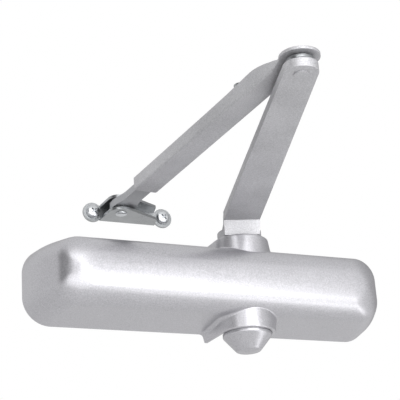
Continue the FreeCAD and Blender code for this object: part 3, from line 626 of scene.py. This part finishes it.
def turn(name, profile, x, y, steps=64, closed=False):
    """A turned piece about an upright axis, from (radius, height) pairs: a circle drawn up
    through them. A closed profile comes back to its start, as on a ring."""
    least = 0.01 * MM
    first_r, first_z = profile[0]
    last_r, last_z = max(first_r, least), first_z
    piece = begin(name, bpy.ops.mesh.primitive_circle_add, vertices=steps, radius=last_r,
                  location=(x, y, first_z))
    settle(piece)
    bpy.ops.mesh.select_mode(type="EDGE")
    bpy.ops.mesh.select_all(action="SELECT")
    for radius, height in profile[1:]:
        radius = max(radius, least)
        extrude(z=height - last_z)
        scale(radius / last_r, radius / last_r, 1, (x, y, height))
        last_r, last_z = radius, height
    if closed:
        extrude(z=first_z - last_z)
        scale(first_r / last_r, first_r / last_r, 1, (x, y, first_z))
    # A ring of the least radius closes up into a point.
    bpy.ops.mesh.select_all(action="SELECT")
    bpy.ops.mesh.remove_doubles(threshold=2.5 * least)
    done()
    return piece


def from_rim(pairs):
    return [(CAP_R - inwards * MM, CAP_TOP - down * MM) for inwards, down in pairs]


def from_tip(pairs):
    return [(outwards * MM, CAP_TIP + rise * MM) for outwards, rise in pairs]


def cap_profile():
    """Outside of the cap from its skirt to its tip, then back up the inside."""
    cone_top, cone_low = from_rim([CONE_TOP])[0], from_tip([CONE_LOW])[0]
    cone = []
    for step in range(CONE_STEPS + 1):
        share = step / CONE_STEPS
        cone.append((cone_top[0] + (cone_low[0] - cone_top[0]) * share,
                     cone_top[1] + (cone_low[1] - cone_top[1]) * share))
    inside = from_tip(TIP_INSIDE) + [CONE_INSIDE_TOP] + from_rim(SKIRT_INSIDE)
    return from_rim(SKIRT) + cone + from_tip(TIP) + inside


pinion_cap = turn("pinion_cone_cap", cap_profile(), PINION.x, PINION.y, CAP_STEPS)
collar = [(COLLAR_IN, CAP_TOP), (COLLAR_OUT, CAP_TOP)]
collar += [(COLLAR_OUT, COLLAR_FOOT_OUT), (COLLAR_IN, COLLAR_FOOT_IN)]
join_or_cut(pinion_cap, "UNION", turn("cap_collar", collar, PINION.x, PINION.y, CAP_STEPS, closed=True))
smooth(pinion_cap, 32)
hand_over(pinion_cap, COVER_PAINT, "housing", "cover_paint", "pinion_cap")


# ---- main arm ----------------------------------------------------------------------------
# A flat steel bar, cranked up out of its round head and painted grey. The head fits the pinion's
# square end, and a washer and a hexagon screw hold it down.

ARM_LOW, ARM_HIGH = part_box("main_arm")
ELBOW = Vector(JOINTS["elbow"]["pos_m"])
ARM_LENGTH = math.hypot(ELBOW.x - PINION.x, ELBOW.y - PINION.y)
ARM_ANGLE = math.atan2(ELBOW.y - PINION.y, ELBOW.x - PINION.x)
HEAD_R = 18.4 * MM
HEAD_END = 11.2 * MM
HEAD_THICK = 7.3 * MM
CRANK_FOOT = (9.7 * MM, 16.0 * MM)
CRANK_TOP = (13.4 * MM, 19.7 * MM)
CRANK_LIFT = 12.0 * MM
CRANK_BEND_R = 7.0 * MM
TIP_R = 11.6 * MM
TIP_DROP = 1.1 * MM
ARM_ROUND = 0.9 * MM
SQUARE = 11.04 * MM
SQUARE_CORNER = 2.0 * MM
PIN_R = 5.02 * MM
# In millimetres from the pinion: half widths of the bar, and where its sections lie.
ARM_WIDTHS = ((11.2, 14.6), (16, 14.6), (19.7, 15.2), (130, 13.8), (255, 12.0), (280, 11.6))
CRANK_PLACES = (9.7, 10.5, 11.2, 11.9, 12.4, 13, 14, 15, 16, 16.9, 17.8, 18.6, 19.7, 22, 26, 60)
BAR_PLACES = (95, 130, 165, 200, 230, 255, 270)


def soften(piece, width, segments=2, degrees=30):
    """Rounds the piece's sharp edges and closes up the slivers where the rounds run out."""
    apply_modifier(piece, "BEVEL", width=width, segments=segments, limit_method="ANGLE",
                   angle_limit=math.radians(degrees))
    close_slivers(piece, 0.004 * MM)


def along(table, s):
    """A value at s millimetres, in line between the table's (place, value) pairs."""
    for (near, one), (far, other) in zip(table, table[1:]):
        if s <= far:
            return one + (other - one) * max(s - near, 0) / (far - near)
    return table[-1][1]


def bar(name, sections):
    """A bar along +X drawn out section by section: (place, half width, bottom, top)."""
    place, half, low, high = sections[0]
    middle = (place, 0, (low + high) / 2)
    piece = begin(name, bpy.ops.mesh.primitive_plane_add, size=1, location=middle,
                  rotation=(0, math.radians(-90), 0))
    settle(piece)
    scale(1, 2 * half, high - low, middle)
    for next_place, next_half, next_low, next_high in sections[1:]:
        extrude(x=next_place - place, z=(next_low + next_high - low - high) / 2)
        middle = (next_place, 0, (next_low + next_high) / 2)
        scale(1, next_half / half, (next_high - next_low) / (high - low), middle)
        place, half, low, high = next_place, next_half, next_low, next_high
    done()
    return piece


def drill(piece, name, radius, low, high, x=0.0):
    """A round hole through the piece, at this place along it."""
    cutter = begin(name, bpy.ops.mesh.primitive_cylinder_add, vertices=48, radius=radius,
                   depth=high - low, location=(x, 0, (low + high) / 2))
    bpy.ops.object.mode_set(mode="OBJECT")
    join_or_cut(piece, "DIFFERENCE", cutter)


def put(piece, angle, origin, tilt=0.0, pivot_z=0.0):
    """Tilts a piece made along +X, turns it about the upright and moves it to its place."""
    move = Matrix.Translation((origin.x, origin.y, pivot_z)) @ Matrix.Rotation(angle, 4, "Z")
    piece.data.transform(move @ Matrix.Rotation(tilt, 4, "Y") @ Matrix.Translation((0, 0, -pivot_z)))


def arm_half(x):
    """Half width of the bar: round the head, along its sides and round the tip."""
    if x < HEAD_END:
        return math.sqrt(max(HEAD_R ** 2 - x ** 2, 0))
    if x > ARM_LENGTH:
        return math.sqrt(max(TIP_R ** 2 - (x - ARM_LENGTH) ** 2, 0))
    return along(ARM_WIDTHS, x / MM) * MM


def arm_low(x):
    """Underside of the bar, which goes up the crank."""
    share = (x - CRANK_FOOT[1]) / (CRANK_TOP[1] - CRANK_FOOT[1])
    return ARM_LOW.z + CRANK_LIFT * min(max(share, 0), 1)


def arm_high(x):
    """Top of the bar: up the crank, round its outer bend and gently down to the tip."""
    foot, top = CRANK_FOOT[0], CRANK_TOP[0]
    steep = CRANK_LIFT / (top - foot)
    full = ARM_LOW.z + HEAD_THICK + CRANK_LIFT
    reach = CRANK_BEND_R * math.tan(math.atan(steep) / 2)
    line = ARM_LOW.z + HEAD_THICK + steep * min(max(x - foot, 0), top - foot)
    centre = top + reach
    start = top - reach / math.hypot(1, steep)
    if start < x < centre:
        return full - CRANK_BEND_R + math.sqrt(CRANK_BEND_R ** 2 - (centre - x) ** 2)
    return line - TIP_DROP * max(x - centre, 0) / (ARM_LENGTH - centre)


arm_places = [HEAD_R * math.cos(math.radians(angle)) for angle in range(174, 58, -6)]
arm_places += [place * MM for place in CRANK_PLACES + BAR_PLACES]
arm_places += [ARM_LENGTH + TIP_R * math.cos(math.radians(angle)) for angle in range(90, 0, -7)]
main_arm = bar("main_arm_bar", [(x, arm_half(x), arm_low(x), arm_high(x)) for x in arm_places])
soften(main_arm, ARM_ROUND, 3)
socket = begin("socket", bpy.ops.mesh.primitive_cube_add, size=SQUARE,
               location=(0, 0, ARM_LOW.z + HEAD_THICK / 2))
pick(socket, "EDGE", lambda e: abs((e.verts[0].co - e.verts[1].co).normalized().z) > 0.9)
bpy.ops.mesh.bevel(offset=SQUARE_CORNER, segments=1)
done()
# Taller than the head is thick, so that it cuts right through.
socket.scale = (1, 1, 1.2)
join_or_cut(main_arm, "DIFFERENCE", socket)
drill(main_arm, "pin_hole", PIN_R, ARM_LOW.z, ARM_HIGH.z + MM, ARM_LENGTH)
put(main_arm, ARM_ANGLE, PINION)
smooth(main_arm, 28)
# The arm paint's strong clouds are painted sheen: lighter and darker patches in its colour stand in for
# uneven reflections along the arms.
ARM_PAINT = satin_paint("grey_arm_paint", (0.34, 0.339, 0.353), (0.66, 0.658, 0.68),
                        metallic=0.64, roughness=0.42, clouds=0.9)
hand_over(main_arm, ARM_PAINT, "pinion_and_main_arm", "arm_paint", "main_arm")


def zinc_plate(name, dark, light):
    """Zinc plating with a faint blue tint and slow clouds in its gloss."""
    material, place, shader = new_finish(name)
    grain = noise(place, cells=1500.0, detail=3.0, roughness=0.6)
    cloud = noise(place, cells=90.0, detail=3.0)
    links = {"Base Color": between(dark, light, grain * 0.4 + cloud * 0.6),
             "Roughness": cloud * 0.12 + grain * 0.08 + 0.2,
             "Normal": bump(grain, depth=0.03 * MM, strength=0.4)}
    dress(shader, links, {"Metallic": 0.95})
    return material


ZINC = zinc_plate("bright_zinc", (0.38, 0.39, 0.405), (0.74, 0.76, 0.78))
DULL_ZINC = zinc_plate("dull_zinc", (0.20, 0.207, 0.213), (0.45, 0.463, 0.475))
finish_nodes(ZINC, "arm_washer", "clip_screws", "power_screw")
arm_screw = copy_of("arm_screw", "arm_hexagon_screw")
smooth(arm_screw, 28, False)
hand_over(arm_screw, ZINC, "pinion_and_main_arm", "zinc_plate", "arm_screw")


# ---- elbow -------------------------------------------------------------------------------
# A steel rivet joins the two arms over a turned bush. Its lower head is a shallow dome, its
# upper one a flat button, and both are painted with the arms.

PIN_LOW, PIN_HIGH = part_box("elbow_pin")
BUSH_LOW, BUSH_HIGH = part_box("elbow_bush")
UNDER_ARM = ARM_LOW.z + CRANK_LIFT
PIN_PLAY = 0.02 * MM
PIN_NECK_R = 4.98 * MM
PIN_HEAD_R = 8.0 * MM
PIN_HEAD_THICK = 2.8 * MM
PIN_HEAD_DOME = 1.6 * MM
BUSH_EDGE = 0.5 * MM
BUSH_LIP = 0.8 * MM
BUSH_R = BUSH_HIGH.x - ELBOW.x
BUSH_NECK_R = BUSH_R - 2.2 * MM


def dome(radius, foot, top, steps=6):
    """Section of a shallow dome, steep at its rim, from its rim to its middle."""
    bends = [math.radians(90 * i / steps) for i in range(steps)]
    section = [(radius * math.cos(bend) ** 0.4, foot + (top - foot) * math.sin(bend)) for bend in bends]
    return section + [(0, top)]


rivet_rim = UNDER_ARM + (PIN_LOW.z - UNDER_ARM) * 0.8
rivet = dome(PIN_R - PIN_PLAY, rivet_rim, PIN_LOW.z)[::-1]
rivet += [(r, PIN_HIGH.z - PIN_HEAD_THICK) for r in (PIN_NECK_R, PIN_HEAD_R)]
rivet += dome(PIN_HEAD_R, PIN_HIGH.z - PIN_HEAD_DOME, PIN_HIGH.z)
elbow_pin = turn("elbow_rivet", rivet, ELBOW.x, ELBOW.y, 40)
smooth(elbow_pin, 32)
hand_over(elbow_pin, ARM_PAINT, "pinion_and_main_arm", "arm_paint", "elbow_pin")

bush = [(PIN_R, BUSH_LOW.z), (BUSH_NECK_R, BUSH_LOW.z), (BUSH_NECK_R, BUSH_LOW.z + BUSH_LIP)]
bush += [(BUSH_R - BUSH_EDGE, BUSH_LOW.z + BUSH_LIP), (BUSH_R, BUSH_LOW.z + BUSH_LIP + BUSH_EDGE)]
bush += [(BUSH_R, BUSH_HIGH.z - BUSH_LIP - BUSH_EDGE), (BUSH_R - BUSH_EDGE, BUSH_HIGH.z - BUSH_LIP)]
bush += [(BUSH_NECK_R, BUSH_HIGH.z - BUSH_LIP), (BUSH_NECK_R, BUSH_HIGH.z), (PIN_R, BUSH_HIGH.z)]
elbow_bush = turn("elbow_spacer", bush, ELBOW.x, ELBOW.y, 48, closed=True)
smooth(elbow_bush, 32)
hand_over(elbow_bush, DULL_ZINC, "pinion_and_main_arm", "zinc_plate", "elbow_bush")


# ---- forearm -----------------------------------------------------------------------------
# A channel pressed from steel sheet, with a round eye on the rivet and walls that rise out of the
# neck. A threaded block is welded in it, and its socket screw clamps the rod in the channel.

SHOE_PIVOT = Vector(JOINTS["shoe_pivot"]["pos_m"])
FOREARM_ANGLE = math.atan2(SHOE_PIVOT.y - ELBOW.y, SHOE_PIVOT.x - ELBOW.x)
REACH = math.hypot(SHOE_PIVOT.y - ELBOW.y, SHOE_PIVOT.x - ELBOW.x)
DROOP = math.radians(0.44)
SHEET_Z = BUSH_HIGH.z + 0.1 * MM
SHEET = 2.2 * MM
HAIR = 0.02 * MM
OFFSET = -0.3 * MM
EYE_R = 13.6 * MM
EYE_ROUND = 0.55 * MM
EYE_PLAY = 0.08 * MM
NECK_START = 7.5 * MM
NECK_LENGTH = 15 * MM
NECK_HALF = 8.7 * MM
# In millimetres from the elbow: where the neck's sections lie, and the channel's half width and
# the height of its walls.
NECK_PLACES = (7.5, 9, 11, 13, 15, 17, 19, 21.5)
CHANNEL_END = 233.0
CHANNEL_HALF = ((0, 9.4), (CHANNEL_END, 10.2))
WALL_HEIGHT = ((10, 2.4), (12, 3.4), (15, 4.7), (18, 5.6), (22, 6.7), (26, 7.9), (30, 9.0), (34, 9.9),
               (38, 10.7), (43, 11.4), (48, 11.6), (56, 11.4), (66, 11.0), (80, 10.6), (110, 10.4),
               (CHANNEL_END, 10.4))
CHANNEL_BEND_R = 2.8 * MM
HOLLOW_BEND_R = 0.5 * MM
HOLLOW_TOP = SHEET_Z + 20 * MM


def eye_half(x):
    """Half width of the flat sheet: round the eye, then in to the neck."""
    if x < NECK_START:
        return math.sqrt(max(EYE_R ** 2 - x ** 2, 0))
    start = math.sqrt(EYE_R ** 2 - NECK_START ** 2)
    share = min((x - NECK_START) / NECK_LENGTH, 1)
    return start + (NECK_HALF - start) * (share * (1.6 - 0.6 * share))


def bend_long_edges(piece, height, offset, segments):
    """Rounds the two edges that run along the piece at this height, as bent sheet is."""
    bpy.ops.object.mode_set(mode="EDIT")
    pick(piece, "EDGE", lambda e: all(abs(v.co.z - height) < NEAR for v in e.verts)
         and abs((e.verts[0].co - e.verts[1].co).normalized().x) > 0.9)
    bpy.ops.mesh.bevel(offset=offset, segments=segments)
    done()


channel = bar("forearm_channel", [(s * MM, along(CHANNEL_HALF, s) * MM, SHEET_Z, SHEET_Z + wall * MM)
                                  for s, wall in WALL_HEIGHT])
bend_long_edges(channel, SHEET_Z, CHANNEL_BEND_R * 0.8, 5)
hollow = bar("channel_hollow", [(s * MM, along(CHANNEL_HALF, s) * MM - SHEET, SHEET_Z + SHEET, HOLLOW_TOP)
                                for s in (5, CHANNEL_END + 5)])
bend_long_edges(hollow, SHEET_Z + SHEET, HOLLOW_BEND_R, 2)
join_or_cut(channel, "DIFFERENCE", hollow)
channel.data.transform(Matrix.Translation((0, OFFSET, 0)))
# The eye is a hair thinner than the sheet, so that no face of one lies in a face of the other.
eye_places = [EYE_R * math.cos(math.radians(angle)) for angle in range(174, 60, -6)]
eye_places += [place * MM for place in NECK_PLACES]
eye = bar("forearm_eye", [(x, eye_half(x), SHEET_Z + HAIR, SHEET_Z + SHEET - HAIR) for x in eye_places])
soften(eye, EYE_ROUND, 3, 50)
join_or_cut(channel, "UNION", eye)
drill(channel, "eye_hole", PIN_R + EYE_PLAY, SHEET_Z - MM, SHEET_Z + 9 * MM)
put(channel, FOREARM_ANGLE, ELBOW, DROOP, SHEET_Z)
smooth(channel, 30)
hand_over(channel, ARM_PAINT, "forearm", "arm_paint", "forearm")
finish_nodes(ARM_PAINT, "clamp_block")

clamp_screw = copy_of("clamp_screw", "clamp_socket_screw")
smooth(clamp_screw, 28, False)
hand_over(clamp_screw, DULL_ZINC, "clamp_screw", "zinc_plate", "clamp_screw")


# ---- adjusting rod -----------------------------------------------------------------------
# A flat bar of plated steel with a stamped round eye. It slides in the channel to set the arm's
# reach, and its eye turns on the shoe's rivet.

ROD_Z = SHEET_Z + SHEET + 0.05 * MM
ROD_THICK = 6.0 * MM
ROD_HALF = 6.8 * MM
ROD_ROUND = 0.9 * MM
ROD_EYE_R = 9.4 * MM
ROD_START = 46 * MM
FLARE_START = REACH - 26 * MM
FLARE_LENGTH = 20 * MM
# In millimetres back from the rivet: where the sections of the rod's last stretch lie.
FLARE_PLACES = (60, 27, 25, 22, 19, 16, 13, 10, 7, 4)
RIVET_R = 4.1 * MM


def rod_half(x):
    """Half width: straight, then out to the round eye."""
    if x > REACH:
        return math.sqrt(max(ROD_EYE_R ** 2 - (x - REACH) ** 2, 0))
    share = min(max((x - FLARE_START) / FLARE_LENGTH, 0), 1)
    return ROD_HALF + (ROD_EYE_R - ROD_HALF) * share * share * (3 - 2 * share)


rod_places = [ROD_START, ROD_START + 40 * MM] + [REACH - place * MM for place in FLARE_PLACES]
rod_places += [REACH + ROD_EYE_R * math.cos(math.radians(angle)) for angle in range(90, 0, -8)]
rod = bar("adjusting_bar", [(x, rod_half(x), ROD_Z, ROD_Z + ROD_THICK) for x in rod_places])
rod.data.transform(Matrix.Translation((0, OFFSET / 2, 0)))
soften(rod, ROD_ROUND, 3)
drill(rod, "rod_hole", RIVET_R, ROD_Z - MM, ROD_Z + 8 * MM, REACH)
put(rod, FOREARM_ANGLE, ELBOW, DROOP, SHEET_Z)
smooth(rod, 30)
ROD_PLATE = satin_paint("plated_rod", (0.30, 0.305, 0.32), (0.45, 0.455, 0.475), metallic=0.8, roughness=0.28)
hand_over(rod, ROD_PLATE, "adjusting_rod", "rod_plate", "adjusting_rod")


# ---- shoe --------------------------------------------------------------------------------
# A bracket folded from zinc plated steel sheet, with two ears. The rod's eye turns on a rivet
# between its flanges, over two thin washers, and two pan-head screws hold it to the door frame.

SHOE_LOW, SHOE_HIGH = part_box("shoe")
RIVET_LOW, RIVET_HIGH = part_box("shoe_rivet")
SCREWS_LOW, SCREWS_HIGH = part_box("shoe_screws")
SHOE_ROUND = 0.35 * MM
RIVET_HEAD_R = 4.9 * MM
RIVET_HEAD = 1.4 * MM
RIVET_SHANK_R = 4.0 * MM
SCREW_HEAD_R = 5.7 * MM
SCREW_HEAD = 4.1 * MM
SCREW_RIM = 1.5 * MM
SCREW_EDGE = 0.3 * MM
SHANK_R = 2.9 * MM
SHANK_NECK_R = SHANK_R - 0.02 * MM
SHANK_NECK = 3.0 * MM
POINT_R = 1.7 * MM
POINT_LENGTH = 2.0 * MM
THREAD_DEPTH = 0.4 * MM
THREAD_CLEAR = 5.5 * MM
PITCH = 1.25 * MM
WING = (6.6 * MM, 1.25 * MM, 2.6 * MM)
WING_TAPER = (0.45, 0.75, 1)
WING_Z = SCREW_HEAD - 0.9 * MM

shoe = copy_of("shoe", "shoe_bracket")
edit_all(shoe)
bpy.ops.mesh.dissolve_limited(angle_limit=math.radians(2))
done()
soften(shoe, SHOE_ROUND, 2, 40)
smooth(shoe, 35)
hand_over(shoe, DULL_ZINC, "shoe", "zinc_plate", "shoe")
finish_nodes(ZINC, "shoe_washers")

under_head, over_head = RIVET_HIGH.z - RIVET_HEAD, RIVET_LOW.z + RIVET_HEAD
shoe_pin = dome(RIVET_HEAD_R, over_head, RIVET_LOW.z)[::-1]
shoe_pin += [(RIVET_SHANK_R, over_head), (RIVET_SHANK_R, under_head)]
shoe_pin += dome(RIVET_HEAD_R, under_head, RIVET_HIGH.z)
shoe_rivet = turn("shoe_rivet_pin", shoe_pin, SHOE_PIVOT.x, SHOE_PIVOT.y, 32)
smooth(shoe_rivet, 32)
hand_over(shoe_rivet, ZINC, "shoe", "zinc_plate", "shoe_rivet")


def pan_head_screw(name):
    """Made upright, head up from 0, then laid so that the head faces the room."""
    length = SCREWS_HIGH.y - SCREWS_LOW.y - SCREW_HEAD
    root_r = SHANK_R - THREAD_DEPTH
    profile = [(0, -length), (POINT_R, -length), (root_r, -length + POINT_LENGTH)]
    for i in range(int((length - THREAD_CLEAR) / PITCH)):
        foot = -length + POINT_LENGTH + i * PITCH
        profile += [(SHANK_R, foot + PITCH * 0.45), (SHANK_R, foot + PITCH * 0.6), (root_r, foot + PITCH)]
    profile += [(SHANK_NECK_R, -SHANK_NECK), (SHANK_NECK_R, 0)]
    profile += [(SCREW_HEAD_R - SCREW_EDGE, 0), (SCREW_HEAD_R, SCREW_EDGE), (SCREW_HEAD_R, SCREW_RIM)]
    for angle in range(15, 76, 12):
        bend = math.radians(angle)
        profile.append((SCREW_HEAD_R * math.cos(bend) ** 0.8,
                        SCREW_RIM + (SCREW_HEAD - SCREW_RIM) * math.sin(bend)))
    profile.append((0, SCREW_HEAD))
    screw = turn(name, profile, 0, 0, 36)
    for quarter in (0, 1):
        wing = begin("wing", bpy.ops.mesh.primitive_cube_add, size=1, location=(0, 0, WING_Z))
        scale(*WING, (0, 0, WING_Z))
        pick(wing, "FACE", lambda f: f.normal.z < -0.9)
        scale(*WING_TAPER, (0, 0, SCREW_HEAD))
        done()
        wing.data.transform(Matrix.Rotation(math.radians(45 + 90 * quarter), 4, "Z")
                            @ Matrix.Translation((0, 0, WING_Z)))
        wing.location = (0, 0, 0)
        join_or_cut(screw, "DIFFERENCE", wing)
    screw.data.transform(Matrix.Rotation(math.radians(90), 4, "X"))
    return screw


left_screw = pan_head_screw("shoe_screw_left")
right_screw = left_screw.copy()
right_screw.data = left_screw.data.copy()
right_screw.name = "shoe_screw_right"
bpy.context.scene.collection.objects.link(right_screw)
middle_z = (SHOE_LOW.z + SHOE_HIGH.z) / 2
for screw, x in ((left_screw, SCREWS_LOW.x + SCREW_HEAD_R), (right_screw, SCREWS_HIGH.x - SCREW_HEAD_R)):
    screw.location = (x, SCREWS_LOW.y + SCREW_HEAD, middle_z)
    smooth(screw, 32, False)
    hand_over(screw, ZINC, "shoe", "zinc_plate", "shoe_screws")


# ---- floor, light and camera -------------------------------------------------------------
# A pale floor well below the closer, as if it were held up at a door, and soft studio light.
# The camera looks up at it from the front left, a little turned, as a hand-held one would.

FLOOR_Z = -1.2
FLOOR_SIZE = 16
FLOOR_GLOW = 0.85


def kept_in(signal):
    """Keeps a value from 0 to 1."""
    return signal.node("ShaderNodeClamp", inputs={"Value": signal})


def plainly_seen(tree):
    """1 for what the camera, a gloss or a glass sees directly, 0 for light that lights the closer."""
    start = Signal(tree)
    rays = [start.node("ShaderNodeLightPath", output="Is %s Ray" % kind)
            for kind in ("Camera", "Glossy", "Transmission")]
    return start.math("MAXIMUM", start.math("MAXIMUM", rays[0], rays[1]), rays[2])


def pale_floor():
    """Matt pale board that takes the closer's shadow but looks nearly as bright as the room."""
    material, place, shader = new_finish("pale_floor")
    cloud = noise(place, cells=3.0, detail=3.0)
    grain = noise(place, cells=120.0)
    tint = between((0.86, 0.86, 0.865), (0.90, 0.90, 0.90), cloud * 0.6 + grain * 0.4)
    dress(shader, {"Base Color": tint, "Roughness": grain * 0.1 + 0.75}, {"Specular IOR Level": 0.2})
    share = plainly_seen(material.node_tree) * FLOOR_GLOW
    glow = shader.node("ShaderNodeEmission", inputs={"Color": (1, 1, 1, 1), "Strength": 1.0})
    mixed = share.node("ShaderNodeMixShader", inputs={0: share, 1: shader, 2: glow})
    nodes = material.node_tree.nodes
    surface = next(node for node in nodes if node.bl_idname == "ShaderNodeOutputMaterial")
    material.node_tree.links.new(mixed.socket, surface.inputs["Surface"])
    return material


floor = begin("floor", bpy.ops.mesh.primitive_plane_add, size=FLOOR_SIZE, location=(0, 0, FLOOR_Z))
bpy.ops.mesh.subdivide(number_cuts=3)
done()
floor.data.materials.append(pale_floor())

AIM = Vector((-20 * MM, -70 * MM, 10 * MM))


def towards(bearing, height):
    """The way to something at a bearing from straight in front, positive to the right, and at a
    height over the level."""
    flat = math.cos(height)
    return Vector((math.sin(bearing) * flat, -math.cos(bearing) * flat, math.sin(height)))


def softbox(name, bearing, height, distance, width, tall, power, roll=0.0):
    """A soft lamp that faces the closer from this way: its size in metres and its watts."""
    way = towards(math.radians(bearing), math.radians(height))
    light = bpy.data.lights.new(name, "AREA")
    light.shape = "RECTANGLE"
    light.size = width
    light.size_y = tall
    light.energy = power
    lamp = bpy.data.objects.new(name, light)
    lamp.location = AIM + way * distance
    facing = (-way).to_track_quat("-Z", "Y").to_matrix() @ Matrix.Rotation(math.radians(roll), 3, "Z")
    lamp.rotation_euler = facing.to_euler()
    bpy.context.scene.collection.objects.link(lamp)


softbox("wide_softbox", bearing=-10, height=-13, distance=1.8, width=4.3, tall=0.9, power=20, roll=-6)
softbox("front_softbox", bearing=7, height=6, distance=1.8, width=1.5, tall=0.85, power=14, roll=-24)
softbox("high_softbox", bearing=-28, height=31, distance=1.8, width=1.2, tall=0.7, power=5.5)
softbox("low_softbox", bearing=70, height=-40, distance=1.4, width=0.5, tall=0.4, power=1.1)
softbox("lower_softbox", bearing=42, height=-34, distance=1.8, width=0.95, tall=0.5, power=3.2)

ROOM_LIGHT = 0.38
SIDE_SHADE = 0.9
world = bpy.data.worlds.new("pale_room")
world.use_nodes = True
bpy.context.scene.world = world
room = world.node_tree
room.nodes.clear()
direction = Signal(room).node("ShaderNodeTexCoord", output="Generated")


def dark_side(bearing, height, reach):
    """The less lit part of the room round this way: 1 in its middle, 0 beyond the reach."""
    middle = towards(math.radians(bearing), math.radians(height))
    nearness = direction.node("ShaderNodeVectorMath", {"operation": "DOT_PRODUCT"},
                              {0: direction, 1: middle}, output="Value")
    edge = math.cos(math.radians(reach))
    return kept_in((nearness - edge) * (1.3 / (1 - edge)))


shaded = dark_side(bearing=-74, height=22, reach=30) + dark_side(bearing=104, height=20, reach=45) * 0.6
shaded += dark_side(bearing=162, height=22, reach=42) * 0.45
glossy = Signal(room).node("ShaderNodeLightPath", output="Is Glossy Ray")
strength = plainly_seen(room) * (1 - ROOM_LIGHT) + ROOM_LIGHT - glossy * shaded * SIDE_SHADE
sky = strength.node("ShaderNodeBackground", inputs={"Color": (1, 1, 1, 1), "Strength": strength})
sky.node("ShaderNodeOutputWorld", inputs={"Surface": sky})

CAMERA_BEARING = math.radians(-24.694)
CAMERA_RISE = math.radians(-21.5)
CAMERA_ROLL = math.radians(4.024)
CAMERA_DISTANCE = 1066.4 * MM
CAMERA_LENS = 114.3
CAMERA_OFF_RIGHT = 1.45 * MM
CAMERA_OFF_UP = 81.8 * MM
back = towards(CAMERA_BEARING, CAMERA_RISE)
level = Vector((math.cos(CAMERA_BEARING), math.sin(CAMERA_BEARING), 0))
upright = back.cross(level)
right = level * math.cos(CAMERA_ROLL) - upright * math.sin(CAMERA_ROLL)
up = level * math.sin(CAMERA_ROLL) + upright * math.cos(CAMERA_ROLL)
lens = bpy.data.cameras.new("camera")
lens.lens = CAMERA_LENS
lens.sensor_width = 36
lens.clip_start = 50 * MM
camera = bpy.data.objects.new("camera", lens)
camera_place = back * CAMERA_DISTANCE - right * CAMERA_OFF_RIGHT + up * CAMERA_OFF_UP
facing = Matrix((right, up, back)).transposed()
camera.matrix_world = Matrix.Translation(camera_place) @ facing.to_4x4()
bpy.context.scene.collection.objects.link(camera)
bpy.context.scene.camera = camera
bpy.context.scene.view_settings.view_transform = "Standard"
